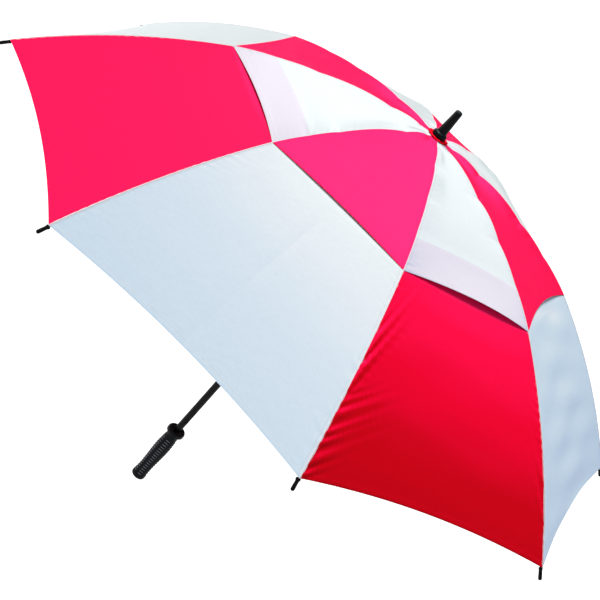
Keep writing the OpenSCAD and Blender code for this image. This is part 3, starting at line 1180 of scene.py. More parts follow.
@dataclass(frozen=True)
class Cut:
    """How one layer of a gore is cut and carried.

    Attributes:
        layer: Which layer it is.
        start: Where it starts along the ribs.
        end: Where it ends along the ribs.
        start_scallop: How far its start curves towards the crown between two ribs.
        end_scallop: How far its end does.
        rows: Points along the rib.
        columns: Points across half a gore.
        carrier: The bodies that carry it, by the first part of their name.
        anchor: The place along the rib that stays put as the umbrella closes.
        fold: The direction that its width folds up along, as radial, sideways and upward parts.
        keep: How much of its width is left when the umbrella is closed.
    """

    layer: Layer
    start: float
    end: float
    start_scallop: float
    end_scallop: float
    rows: int
    columns: int
    carrier: str
    anchor: float
    fold: tuple[float, float, float]
    keep: float = 0.075


UPPER_CUT = Cut(Layer.UPPER, -0.003, 0.376, 0.0, 0.009, 110, 22, "rib", 0.19, (-0.024, 0.995, -0.096))
BAND_CUT = Cut(Layer.BAND, 0.300, 0.372, 0.0, 0.016, 14, 12, "rib", 0.34, (-0.024, 0.995, -0.096))
SKIRT_CUT = Cut(Layer.SKIRT, 0.372, 0.7595, 0.016, 0.017, 122, 26, "outer", 0.56, (-0.149, 0.970, -0.193))


@dataclass(frozen=True)
class Gathers:
    """Small folds that run out from a seam.

    Attributes:
        gore: The gore they are in, from 1 to 8.
        side: The seam that they start from.
        layers: The layers they show on.
        start: Where they begin along the rib.
        end: Where they end along the rib.
        height: How high the folds stand.
        spacing: The distance from fold to fold.
        reach: How far from the seam they fade out.
        slant: How fast they lean towards the crown as they leave the seam.
    """

    gore: int
    side: Side
    layers: tuple[Layer, ...]
    start: float
    end: float
    height: float
    spacing: float
    reach: float
    slant: float


LOWER = (Layer.BAND, Layer.SKIRT)
GATHERS = (
    Gathers(1, Side.FIRST, LOWER, 0.60, 0.765, 0.80 * MM, 25 * MM, 46 * MM, 0.80),
    Gathers(1, Side.FIRST, LOWER, 0.47, 0.63, 1.3 * MM, 58 * MM, 26 * MM, 3.2),
    Gathers(1, Side.SECOND, LOWER, 0.56, 0.73, 0.7 * MM, 62 * MM, 16 * MM, 3.0),
    Gathers(8, Side.SECOND, LOWER, 0.54, 0.60, 1.0 * MM, 30 * MM, 10 * MM, 1.6),
    Gathers(8, Side.SECOND, LOWER, 0.62, 0.75, 0.35 * MM, 27 * MM, 20 * MM, 0.60),
    Gathers(1, Side.FIRST, (Layer.UPPER,), 0.315, 0.372, 0.20 * MM, 9.5 * MM, 18 * MM, -0.25),
    Gathers(8, Side.FIRST, (Layer.UPPER,), 0.33, 0.374, 0.22 * MM, 9.0 * MM, 18 * MM, -0.30),
    Gathers(2, Side.SECOND, (Layer.UPPER,), 0.17, 0.24, 1.6 * MM, 42 * MM, 20 * MM, 0.10),
    Gathers(2, Side.FIRST, LOWER, 0.42, 0.73, 0.5 * MM, 29 * MM, 25 * MM, 0.6),
)


@dataclass(frozen=True)
class GoreShape:
    """What sets one gore's cloth apart from its neighbours'.

    Attributes:
        vent_lift: How far the upper layer's edge lifts off the lower one.
        scallop: How far that edge curves towards the crown, where it isn't as the cut says.
        lean: How far the vent's widest place lies towards the second seam; 1 is half way.
        inset: How far the skirt and the band meet above their usual line, half way across.
        band_sag: How far the lower cloth sinks under the vent.
        wave_height: How high the lower cloth's slow waves are.
        crease: How deep the crease down the gore's middle is.
    """

    vent_lift: float = 4.0 * MM
    scallop: float | None = None
    lean: float = 1.0
    inset: float = 0.0
    band_sag: float = 2.2 * MM
    wave_height: float = 0.07 * MM
    crease: float = 0.0


GORE_SHAPES = {
    1: GoreShape(vent_lift=7.0 * MM, lean=1.5),
    2: GoreShape(vent_lift=2.4 * MM, scallop=0.021, inset=0.012, wave_height=1.1 * MM),
    7: GoreShape(vent_lift=2.4 * MM),
    8: GoreShape(vent_lift=1.3 * MM, scallop=0.008, band_sag=1.1 * MM, crease=0.30 * MM),
}
PLAIN_GORE = GoreShape()
# How far the upper seam rises off its rib between ties, where a rib isn't like the others.
BILLOWS = {1: 3.0 * MM, 8: 3.6 * MM, 2: 4.2 * MM, 3: 4.4 * MM, 7: 3.2 * MM}
# Where the upper seam is tied, on the ribs whose ties are set one by one.
OWN_TIES = {
    1: [0.0, 0.030, 0.097, 0.195, 0.290, 0.376],
    2: [0.0, 0.024, 0.130, 0.215, 0.296, 0.376],
    3: [0.0, 0.026, 0.092, 0.210, 0.290, 0.376],
    7: [0.0, 0.028, 0.088, 0.225, 0.300, 0.376],
    8: [0.0, 0.022, 0.080, 0.240, 0.305, 0.376],
}
# Share of the full rise that each stretch between two ties has, from the crown outwards.
BILLOW_SHARES = (0.9, 1.0, 0.45, 0.2)
# Rows of points beside the hem, as shares of its width.
HEM_ROWS = np.array([1.03, 0.97, 0.6, 0.3, 0.12, 0.03, 0.0])
# Slow waves: share of the height, length along the rib, and turns across the gore.
SLOW_WAVES = ((1.0, 0.115, 0.9), (0.6, 0.071, -1.3), (0.5, 0.19, 2.1))
# Puckers beside a seam: share of the height, slant and spacing.
PUCKERS = ((1.0, 0.5, 0.0145), (0.7, 0.4, 0.0205))


@dataclass
class Canopy:
    """Eight upper gores over eight lower gores, red and white in turn, each made as two halves.

    Attributes:
        line: The ribs' centre line.
        cloth_height: How far the cloth's underside lies above the ribs' centre line.
        thickness: The cloth's thickness.
        hem_thickness: The extra thickness of the turned hem.
        hem_width: The width of the turned hem.
        upper_clearance: How far the upper layer lies above the lower one where both are sewn to a rib.
        lap: Where the upper layer starts to rise over the lower one, and where it has risen.
        vent_start: Where the upper layer begins to lift off the lower one.
        vent_reach: How far beyond that it has its full lift.
        lower_sag: How deep a lower gore sinks between two ribs, as a share of its width.
        upper_sag: How deep an upper gore does.
        ties: Where each rib is tied to the upper seam.
        tie_drift: How far a tie may lie from its usual place.
        billow: How far the upper seam rises off its rib between ties.
        billow_reach: How far from a seam the cloth follows its rise.
        pucker_height: How high the puckers beside a seam are.
        pucker_reach: How far from the seam they fade out.
        crease_width: Half the width of a crease down a gore's middle.
        rng: Draws the ties' places and the waves' phases.
    """

    line: RibLine
    cloth_height: float = 3.3 * MM
    thickness: float = 0.35 * MM
    hem_thickness: float = 0.05 * MM
    hem_width: float = 10 * MM
    upper_clearance: float = 0.75 * MM
    lap: tuple[float, float] = (0.278, 0.300)
    vent_start: float = 0.306
    vent_reach: float = 0.07
    lower_sag: float = 0.010
    upper_sag: float = 0.008
    ties: tuple[float, ...] = (0.0, 0.030, 0.100, 0.207, 0.292, 0.376)
    tie_drift: float = 0.009
    billow: float = 2.2 * MM
    billow_reach: float = 26 * MM
    pucker_height: float = 0.16 * MM
    pucker_reach: float = 0.011
    crease_width: float = 0.004
    rng: np.random.Generator = field(default_factory=lambda: np.random.default_rng(41))

    def __post_init__(self) -> None:
        """Draws each rib's own ties and each gore's own slow waves."""
        first, *inner, last = self.ties
        self.rib_ties = [
            [first, *(t + float(self.rng.uniform(-self.tie_drift, self.tie_drift)) for t in inner), last]
            for _ in range(RIB_COUNT)
        ]
        for rib, ties in OWN_TIES.items():
            self.rib_ties[rib - 1] = ties
        self.waves = self.rng.uniform(0, 2 * math.pi, (RIB_COUNT, 6))
        self.ripples = self.rng.uniform(0, 2 * math.pi, (RIB_COUNT, 2, 3))

    def dye_of(self, gore: int, layer: Layer) -> Dye:
        """The colour of a gore: the layers take turns, and so do neighbours."""
        return Dye.RED if (gore % 2 == 0) == (layer is Layer.UPPER) else Dye.WHITE

    def seam_lift(self, rib: int, along: np.ndarray, layer: Layer) -> np.ndarray:
        """How far a seam rises off its rib between two ties.

        Args:
            rib: The rib's number.
            along: Arc lengths along the rib.
            layer: The layer; the lower ones are pulled tight.

        Returns:
            The rise at each place.
        """
        lift = np.zeros_like(along)
        if layer is not Layer.UPPER:
            return lift
        number = (rib - 1) % RIB_COUNT
        ties = self.rib_ties[number]
        for low, high, share in zip(ties[1:], ties[2:], BILLOW_SHARES):
            inside = np.clip((along - low) / (high - low), 0, 1)
            height = BILLOWS.get(number + 1, self.billow) * share
            lift = lift + height * np.sin(np.pi * inside**0.85) ** 0.8
        return lift

    def grid(self, gore: int, cut: Cut) -> tuple[np.ndarray, np.ndarray, np.ndarray]:
        """Lays out one half of a gore, from its seam to half way.

        Args:
            gore: The gore's number.
            cut: The layer's cut.

        Returns:
            Arrays of arc length, share across the gore and distance to the hem.
        """
        shape = GORE_SHAPES.get(gore, PLAIN_GORE)
        t = 0.5 * np.linspace(0, 1, cut.columns) ** 1.5
        scallop = shape.scallop if shape.scallop and cut.layer is Layer.UPPER else cut.end_scallop
        begin = cut.start - (cut.start_scallop + shape.inset * (cut.layer is Layer.SKIRT)) * arch(t)
        end = cut.end - (scallop + shape.inset * (cut.layer is Layer.BAND)) * arch(t)
        last = HEM_ROWS * self.hem_width
        v = np.linspace(0, 1, cut.rows)[:, None]
        if cut.layer is Layer.BAND:
            s = begin + v * (end - begin)
        else:
            body = begin + v * (end - last[0] - begin)
            s = np.concatenate([body, end - last[1:, None]])
        return s, np.broadcast_to(t, s.shape), end - s

    def surface(
        self, gore: int, cut: Cut, side: Side, s: np.ndarray, t: np.ndarray
    ) -> tuple[np.ndarray, np.ndarray, np.ndarray]:
        """Places the points of half a gore's underside in the first gore's position.

        Args:
            gore: The gore's number.
            cut: The layer's cut.
            side: The seam that the half hangs from.
            s: Arc lengths along the ribs.
            t: Shares across the gore, counted from that seam.

        Returns:
            The points, their outward normals and the gore's width at each.
        """
        near = gore if side is Side.FIRST else gore + 1
        clearance = self.upper_clearance if cut.layer is Layer.UPPER else 0
        low = self.cloth_height + clearance * smooth_step(s, *self.lap)
        here, across = (0.0, RIB_PITCH) if side is Side.FIRST else (RIB_PITCH, 0.0)
        a, b = turned(self.line.points(s, low), here), turned(self.line.points(s, low), across)
        width = np.linalg.norm(b - a, axis=-1)
        up = turned(self.line.points(s, 1.0) - self.line.points(s, 0.0), here)
        rise = self.seam_lift(near, s, cut.layer) * np.exp(-((t * width / self.billow_reach) ** 1.5))
        rise = rise * (1 - smooth_step(t, 0.15, 0.5))
        points = a + (b - a) * t[..., None] + up * rise[..., None]
        normal = self.normals(points, side)
        points = points + normal * self.relief(gore, cut, side, s, t, width)[..., None]
        return points, self.normals(points, side), width

    def normals(self, points: np.ndarray, side: Side) -> np.ndarray:
        """Outward normals of a grid of points that runs round from one seam."""
        return unit(np.cross(np.gradient(points, axis=0), np.gradient(points, axis=1) * side.value))

    def relief(
        self, gore: int, cut: Cut, side: Side, s: np.ndarray, t: np.ndarray, width: np.ndarray
    ) -> np.ndarray:
        """How far the cloth stands off the straight span between two ribs.

        Args:
            gore: The gore's number.
            cut: The layer's cut.
            side: The seam that the half hangs from.
            s: Arc lengths along the ribs.
            t: Shares across the gore, counted from that seam.
            width: The gore's width at each point.

        Returns:
            The height at each point, positive outwards.
        """
        shape = GORE_SHAPES.get(gore, PLAIN_GORE)
        from_seam = t * width
        across = t if side is Side.FIRST else 1 - t
        sag = self.upper_sag if cut.layer is Layer.UPPER else self.lower_sag
        relief = -sag * width * arch(t) * smooth_step(s, 0.01, 0.12)
        if cut.layer is Layer.UPPER:
            swell = arch(t) if shape.lean == 1.0 else arch(across**shape.lean)
            open_vent = np.clip((s - self.vent_start) / self.vent_reach, 0, 1.2) ** 1.7
            relief = relief + shape.vent_lift * swell * open_vent
        else:
            relief = relief - shape.band_sag * arch(t) * (1 - smooth_step(s, 0.345, 0.43))
        relief = relief + self.slow_waves(gore, cut, s, across, width)
        relief = relief + self.pucker(gore, side, s, from_seam)
        for gather in GATHERS:
            if gather.gore == gore and gather.side is side and cut.layer in gather.layers:
                relief = relief + self.gathered(gather, s, from_seam)
        return relief * smooth_step(from_seam, -0.0005, 0.004)

    def slow_waves(
        self, gore: int, cut: Cut, s: np.ndarray, across: np.ndarray, width: np.ndarray
    ) -> np.ndarray:
        """Broad, shallow waves that differ from gore to gore, and the crease down a gore's middle.

        Args:
            gore: The gore's number.
            cut: The layer's cut.
            s: Arc lengths along the ribs.
            across: Shares across the gore, counted from its first seam.
            width: The gore's width at each point.

        Returns:
            The height at each point.
        """
        shape = GORE_SHAPES.get(gore, PLAIN_GORE)
        height = PLAIN_GORE.wave_height if cut.layer is Layer.UPPER else shape.wave_height
        wave = 0
        for (share, length, slant), phase in zip(SLOW_WAVES, self.waves[gore - 1]):
            wave = wave + share * np.sin(2 * np.pi * (s / length + slant * across) + phase)
        crease = shape.crease * np.exp(-(((across - 0.5) * width / self.crease_width) ** 2))
        return height * wave * arch(across) * smooth_step(s, 0.03, 0.2) - crease

    def pucker(self, gore: int, side: Side, s: np.ndarray, from_seam: np.ndarray) -> np.ndarray:
        """The faint, even puckering that stitching leaves along every seam.

        Args:
            gore: The gore's number.
            side: The seam that the half hangs from.
            s: Arc lengths along the ribs.
            from_seam: Distances from that seam.

        Returns:
            The height at each point.
        """
        *phases, slow_phase = self.ripples[gore - 1][0 if side is Side.FIRST else 1]
        wave = 0
        for (share, slant, spacing), phase in zip(PUCKERS, phases):
            wave = wave + share * np.sin(2 * np.pi * (s + slant * from_seam) / spacing + phase)
        slow = 0.55 + 0.45 * np.sin(2 * np.pi * s / 0.21 + slow_phase)
        return self.pucker_height * wave * slow * np.exp(-from_seam / self.pucker_reach)

    def gathered(self, gather: Gathers, s: np.ndarray, from_seam: np.ndarray) -> np.ndarray:
        """The height of one set of gathers.

        Args:
            gather: The set.
            s: Arc lengths along the ribs.
            from_seam: Distances from the set's seam.

        Returns:
            The height at each point.
        """
        along = s + gather.slant * from_seam
        wave = np.sin(2 * np.pi * along / gather.spacing + 1.1 * np.sin(2 * np.pi * along / 0.063))
        fade = np.exp(-((from_seam / gather.reach) ** 1.3)) * smooth_step(from_seam, 0, 0.006)
        ends = smooth_step(along, gather.start, gather.start + 0.05)
        ends = ends * (1 - smooth_step(along, gather.end - 0.01, gather.end + 0.02))
        return gather.height * wave * fade * ends

    def half(self, gore: int, cut: Cut, side: Side) -> bpy.types.Object:
        """Makes one half of one layer of a gore.

        Args:
            gore: The gore's number.
            cut: The layer's cut.
            side: The seam that the half hangs from.

        Returns:
            The half's object, riding with its rib.
        """
        s, t, from_hem = self.grid(gore, cut)
        under, normal, width = self.surface(gore, cut, side, s, t)
        inwards = -from_hem
        hem = 0 if cut.layer is Layer.BAND else smooth_step(inwards, -self.hem_width, -0.97 * self.hem_width)
        edge = 1 - 0.6 * smooth_step(inwards, -1.0 * MM, 0.0)
        thick = (self.thickness + self.hem_thickness * hem) * edge
        over = under + normal * thick[..., None]
        across = (t - 0.5) * width * side.value
        maps = {"cloth": np.stack([across, s], axis=-1), "edges": np.stack([t * width, from_hem], axis=-1)}
        if side is Side.SECOND:
            over, under = over[:, ::-1], under[:, ::-1]
            maps = {title: values[:, ::-1] for title, values in maps.items()}
        spin = RIB_PITCH * (gore - 1)
        letter = "a" if side is Side.FIRST else "b"
        name = f"{cut.layer.value}_gore_{gore}_{letter}"
        piece = shell(name, turned(over, spin), turned(under, spin), maps)
        self.carry(piece, gore, cut, side)
        return piece

    def carry(self, piece: bpy.types.Object, gore: int, cut: Cut, side: Side) -> None:
        """Rides a half on its rib and dresses it.

        Args:
            piece: The half.
            gore: The gore's number.
            cut: The layer's cut.
            side: The seam that the half hangs from.
        """
        rib = gore if side is Side.FIRST else gore % RIB_COUNT + 1
        dye = self.dye_of(gore, cut.layer)
        layer = "upper" if cut.layer is Layer.UPPER else "lower"
        attach(piece, ClothFinish(dye, cut.layer), f"cloth_{dye.value}", f"{layer}_{dye.value}")
        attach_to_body(piece, f"{cut.carrier}_{rib}")
        anchor = self.line.on_rib(rib, cut.anchor, self.cloth_height)
        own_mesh(piece)

    def build(self) -> None:
        """Makes every half of every gore."""
        cuts = (UPPER_CUT, BAND_CUT, SKIRT_CUT)
        for gore, cut, side in itertools.product(range(1, RIB_COUNT + 1), cuts, Side):
            self.half(gore, cut, side)


# ---------------------------------------------------------------- ribs, seams and tips


# A seam's cross section: its flat allowances and its rolled bead, sideways and upwards.
SEAM_OUTLINE = np.array([(-2.3, -1.25), (2.3, -1.25), (2.3, -0.75), (0.9, -0.5), (1.0, 0.1), (0.8, 0.6),
                         (0.0, 0.85), (-0.8, 0.6), (-1.0, 0.1), (-0.9, -0.5), (-2.3, -0.75)])
# A cap's outline: distance from the rib's line, distance along it and the corner's rounding, in millimetres.
CAP_OUTLINE = [
    (2.05, 0.4, 0), (3.2, 0.0, 0.4), (4.1, 0.6, 0.5), (4.1, 3.6, 0.6), (3.15, 4.6, 0.6), (3.05, 6.0, 0.3),
    (3.3, 15.6, 1.2), (3.35, 18.2, 1.2), (2.9, 20.3, 1.2), (1.2, 21.5, 1.5), (0.05, 21.5, 0),
]


@dataclass
class Ribs:
    """The eight ribs with the seams that lie on them and the caps on their ends.

    Attributes:
        line: The ribs' centre line.
        canopy: The cloth, for where its seams run.
        rod_radius: The radius of the glass-fibre rod.
        ferrule_radius: The radius of the sleeve over the flexing point.
        flex_at: Where the flexing point is.
        rod_end: Where the rod ends, inside its cap.
        bend: How far on each side of the flexing point a bend would reach; the rod is not turned there.
        seam_width: The width of the rolled seam.
        seam_height: Its height above the cloth.
        lower_ties: Where the lower seam is tied to the rib.
        tie_radius: The radius of a tie's turns of thread.
        thread_radius: The radius of that thread.
        cap_at: Where the tip's cap starts.
    """

    line: RibLine
    canopy: Canopy
    rod_radius: float = 2.0 * MM
    ferrule_radius: float = 2.7 * MM
    flex_at: float = 0.380
    rod_end: float = 0.772
    bend: float = 0.022
    seam_width: float = 1.15 * MM
    seam_height: float = 0.75 * MM
    lower_ties: tuple[float, ...] = (0.455, 0.55, 0.645)
    tie_radius: float = 2.75 * MM
    thread_radius: float = 0.32 * MM
    cap_at: float = 0.7585

    def swept(self, along: np.ndarray, section: np.ndarray, lift: np.ndarray) -> np.ndarray:
        """Carries cross sections along the first rib.

        Args:
            along: Arc lengths, one for each ring.
            section: (n, m, 2) sideways and upward places of each ring's points.
            lift: The height of each ring's centre above the rib.

        Returns:
            The rings as an (n, m, 3) array.
        """
        radius, height, slope = self.line.at(along)
        up = np.stack([np.sin(slope), np.zeros_like(slope), np.cos(slope)], axis=-1)
        centre = np.stack([radius, np.zeros_like(radius), height], axis=-1) + up * lift[:, None]
        return centre[:, None] + section[..., :1] * SIDEWAYS + section[..., 1:] * up[:, None]

    def rod(self, rib: int) -> None:
        """Makes a rod with its flattened eye and the sleeve over its flexing point.

        Args:
            rib: The rib's number.
        """
        eye = np.array([-1.7, -1.4, -0.8, 0.2, 2.0, 4.5, 6.0, 7.5, 9.0]) * MM
        joint = self.flex_at + np.array([-9.2, -9.0, -8.4, -2.4, -2.0, 2.0, 2.4, 8.4, 9.0, 9.2]) * MM
        along = np.unique(np.concatenate([eye, np.linspace(0.012, self.rod_end, 120), joint]))
        off = np.abs(along - self.flex_at)
        sleeve = (self.ferrule_radius - self.rod_radius) * (1 - smooth_step(off, 0.0085, 0.0091))
        sleeve = sleeve - 0.35 * MM * (1 - smooth_step(off, 0.0018, 0.0024))
        flat = smooth_step(along, 0.004, 0.010)
        nose = np.sqrt(np.clip(1 - (np.minimum(along, 0) / (1.72 * MM)) ** 2, 0.02, 1))
        eye_width, eye_height = 1.0 * MM, 1.7 * MM
        wide = (eye_width + (self.rod_radius - eye_width) * flat) + sleeve
        tall = (eye_height + (self.rod_radius - eye_height) * flat) * nose + sleeve
        turn = turns(14)
        section = np.stack([wide[:, None] * np.cos(turn), tall[:, None] * np.sin(turn)], axis=-1)
        rings = self.swept(along, section, np.zeros_like(along))
        piece = ringed(f"rib_rod_{rib}", turned(rings, RIB_PITCH * (rib - 1)), sharp=35)
        attach(piece, ROD_GLASS_FIBRE, "fibreglass", f"rib_inner_{rib}", f"rib_outer_{rib}")
        self.bend_with(piece, rib)

    def bend_with(self, piece: bpy.types.Object, rib: int) -> None:
        """Bakes a piece's placement into its mesh; it is not turned at the flexing point.

        Args:
            piece: The piece.
            rib: The number of the rib that it lies on.
        """
        start = self.line.on_rib(rib, self.flex_at - self.bend)
        end = self.line.on_rib(rib, self.flex_at + self.bend)
        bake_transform(piece)

    def seam(self, rib: int) -> None:
        """Makes the rolled seam that runs down the rib between two gores.

        Args:
            rib: The rib's number.
        """
        along = np.linspace(0.004, 0.7592, 256)
        upper = self.canopy.seam_lift(rib, along, Layer.UPPER)
        step = self.canopy.upper_clearance * smooth_step(along, *self.canopy.lap)
        over = (1 - smooth_step(along, 0.3745, 0.3775)) * step
        lift = self.canopy.cloth_height + upper + over + self.canopy.thickness
        taper = smooth_step(along, 0.0, 0.02) * (1 - 0.35 * smooth_step(along, 0.755, 0.7595))
        taper = taper * (0.50 + 0.28 * smooth_step(along, 0.372, 0.380))
        wave = 1 + 0.05 * np.sin(2 * np.pi * along / 0.0029)
        size = np.array([self.seam_width, self.seam_height / SEAM_OUTLINE[:, 1].max()])
        section = SEAM_OUTLINE[None] * size * (taper * wave)[:, None, None]
        rings = self.swept(along, section, lift)
        piece = ringed(f"seam_{rib}", turned(rings, RIB_PITCH * (rib - 1)), sharp=50)
        attach(piece, WHITE_THREAD, "cloth_white")
        self.bend_with(piece, rib)

    def tie(self, rib: int, number: int, along: float) -> None:
        """Ties the seam to the rib with two turns of thread.

        Args:
            rib: The rib's number.
            number: The tie's number on that rib.
            along: Its place along the rib.
        """
        turn = np.linspace(0, 4 * math.pi, 57)
        run = (turn / (2 * math.pi) - 1) * 0.8 * MM
        steps = turns(6)
        away = self.tie_radius + self.thread_radius * np.cos(steps)
        section = np.stack([
            (away[None] * np.cos(turn)[:, None]),
            (away[None] * np.sin(turn)[:, None]) * 1.15 + 0.4 * MM,
            run[:, None] + self.thread_radius * np.sin(steps)[None],
        ], axis=-1)
        base = self.line.points(np.array(along))
        forward, up = self.line.axes(along)
        rings = base + section[..., :1] * SIDEWAYS + section[..., 1:2] * up + section[..., 2:] * forward
        piece = ringed(f"tie_{rib}_{number}", turned(rings, RIB_PITCH * (rib - 1)))
        attach(piece, WHITE_THREAD, "cloth_white")
        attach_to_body(piece, f"rib_{rib}" if along < self.flex_at else f"outer_{rib}")

    def cap(self, rib: int) -> None:
        """Makes the moulded cap that the cloth's corner is sewn to.

        Args:
            rib: The rib's number.
        """
        outline = rounded(CAP_OUTLINE, 5) * MM
        turn = turns(28)
        base = self.line.points(np.array(self.cap_at))
        forward, up = self.line.axes(self.cap_at + 8 * MM)
        waist = np.where(outline[:, 1] < 4.2 * MM, 0.8, 1.0)[:, None]
        sideways = outline[:, :1] * np.sin(turn)[None] * SIDEWAYS[:, None, None]
        rings = (
            base + outline[:, 1, None, None] * forward
            + (outline[:, :1] * np.cos(turn)[None])[..., None] * up * waist[..., None]
            - np.moveaxis(sideways, 0, -1)
        )
        piece = ringed(f"tip_cap_{rib}", turned(rings, RIB_PITCH * (rib - 1)), sharp=38)
        attach(piece, BLACK_PLASTIC, "black_plastic", f"rib_tip_{rib}")
        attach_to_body(piece, f"outer_{rib}")

    def build(self) -> None:
        """Makes every rib's pieces."""
        for rib in range(1, RIB_COUNT + 1):
            self.rod(rib)
            self.seam(rib)
            self.cap(rib)
            places = [*self.canopy.rib_ties[rib - 1][1:-1], *self.lower_ties]
            for number, along in enumerate(places, 1):
                self.tie(rib, number, along)


# ---------------------------------------------------------------- handle


# The length that the grip's outline is drawn at, in millimetres.
GRIP_LENGTH = 126.0


@dataclass
class Handle:
    """The rubber grip with its columns of raised bars, and the flanged collar above it.

    Attributes:
        top: The height where the grip meets the collar.
        bar_columns: How many columns of bars go round.
        bar_count: How many bars each column has.
        first_bar: The height of the lowest bar.
        bar_pitch: The distance from bar to bar.
        bar_height: How far a bar stands up.
        bar_half_angle: Half the angle that a bar covers, in degrees.
        first_column: Where the first column is centred, in degrees.
        collar_radius: The radius of the collar's flange.
        collar_height: The collar's height.
    """

    top: float
    bar_columns: int = 6
    bar_count: int = 17
    first_bar: float = 14.5 * MM
    bar_pitch: float = 6.125 * MM
    bar_height: float = 0.95 * MM
    bar_half_angle: float = 18.0
    first_column: float = -7.5
    collar_radius: float = 18.8 * MM
    collar_height: float = 13.5 * MM

    def off_column(self, angle: np.ndarray) -> np.ndarray:
        """How many degrees each direction is from the nearest column of bars."""
        pitch = 360 / self.bar_columns
        return np.abs((np.degrees(angle) - self.first_column + pitch / 2) % pitch - pitch / 2)

    def raised(self, radius: np.ndarray, angle: np.ndarray, height: np.ndarray) -> np.ndarray:
        """How far each point of the wall is raised into a bar.

        Args:
            radius: The wall's radius at each point, which makes no difference here.
            angle: Each point's direction in radians.
            height: Each point's height.

        Returns:
            A share from 0 to 1 for each point.
        """
        off = self.off_column(angle)
        side = 1 - smooth_step(off, self.bar_half_angle - 5, self.bar_half_angle)
        row = (height - self.first_bar) / self.bar_pitch
        gap = np.abs(row - np.clip(np.round(row), 0, self.bar_count - 1)) * self.bar_pitch
        return side * (1 - smooth_step(gap, 0.30 * MM, 1.35 * MM))

    def barred(self, radius: np.ndarray, angle: np.ndarray, height: np.ndarray) -> np.ndarray:
        """Raises the bars on the grip's wall and sinks the channels between their columns.

        Args:
            radius: The wall's radius at each point.
            angle: Each point's direction in radians.
            height: Each point's height.

        Returns:
            The changed radius.
        """
        off = self.off_column(angle)
        inside = smooth_step(height, 10 * MM, 12 * MM) * (1 - smooth_step(height, 116 * MM, 118 * MM))
        channel = 0.35 * MM * smooth_step(off, self.bar_half_angle + 1, self.bar_half_angle + 5) * inside
        return radius + self.bar_height * self.raised(radius, angle, height) - channel

    def grip(self) -> None:
        """Makes the grip: bulb, waist, swell and neck."""
        swell = [(4.0, 14.3), (11.0, 14.35), (13.6, 13.6), (23.0, 13.1), (33.0, 13.0), (52.0, 13.85),
                 (72.0, 14.95), (92.0, 15.3), (108.0, 14.4), (120.0, 13.4), (GRIP_LENGTH, 13.6)]
        heights = np.concatenate([
            np.linspace(4, 11, 8), np.linspace(11.5, 118, 260), np.linspace(119, GRIP_LENGTH, 8)
        ])
        wall = np.stack([through(swell, heights), heights], axis=-1)
        foot = np.array([(0.05, 0.0), (4.0, 0.0), (9.2, 0.1), (11.6, 0.75), (13.1, 1.8), (13.9, 2.9)])
        outline = np.concatenate([foot, wall, [(7.05, GRIP_LENGTH)]]) * MM
        outline[:, 1] *= self.top / (GRIP_LENGTH * MM)
        # The bars' raise also marks where the grip's painted highlight shows.
        piece = lathe("handle_grip_rubber", outline, 180, shaped=self.barred, marked=self.raised, sharp=60)
        attach(piece, GRIP_RUBBER, "grip_rubber", "handle_grip")
        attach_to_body(piece, "shaft")

    def collar(self) -> None:
        """Makes the flanged collar with its hollow top."""
        r, h, z = self.collar_radius / MM, self.collar_height / MM, self.top / MM
        outline = rounded([
            (7.03, z, 0), (13.9, z, 0), (14.2, z + 0.8, 0.6), (r - 1.3, z + 1.9, 1.2), (r, z + 3.6, 1.4),
            (r, z + h - 3.6, 2.0), (r - 1.9, z + h - 0.5, 1.8), (r - 3.6, z + h, 1.2),
            (r - 5.0, z + h - 1.6, 1.6), (10.6, z + h - 5.0, 2.4), (8.6, z + h - 5.3, 0.6),
            (8.4, z + h - 3.4, 0.5), (7.05, z + h - 3.3, 0),
        ], 5) * MM
        piece = lathe("collar_moulding", outline, 96, around=True, sharp=50)
        attach(piece, BLACK_PLASTIC, "black_plastic", "handle_collar")
        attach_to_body(piece, "shaft")

    def build(self) -> None:
        """Makes the grip and the collar."""
        self.grip()
        self.collar()


# ---------------------------------------------------------------- ferrule


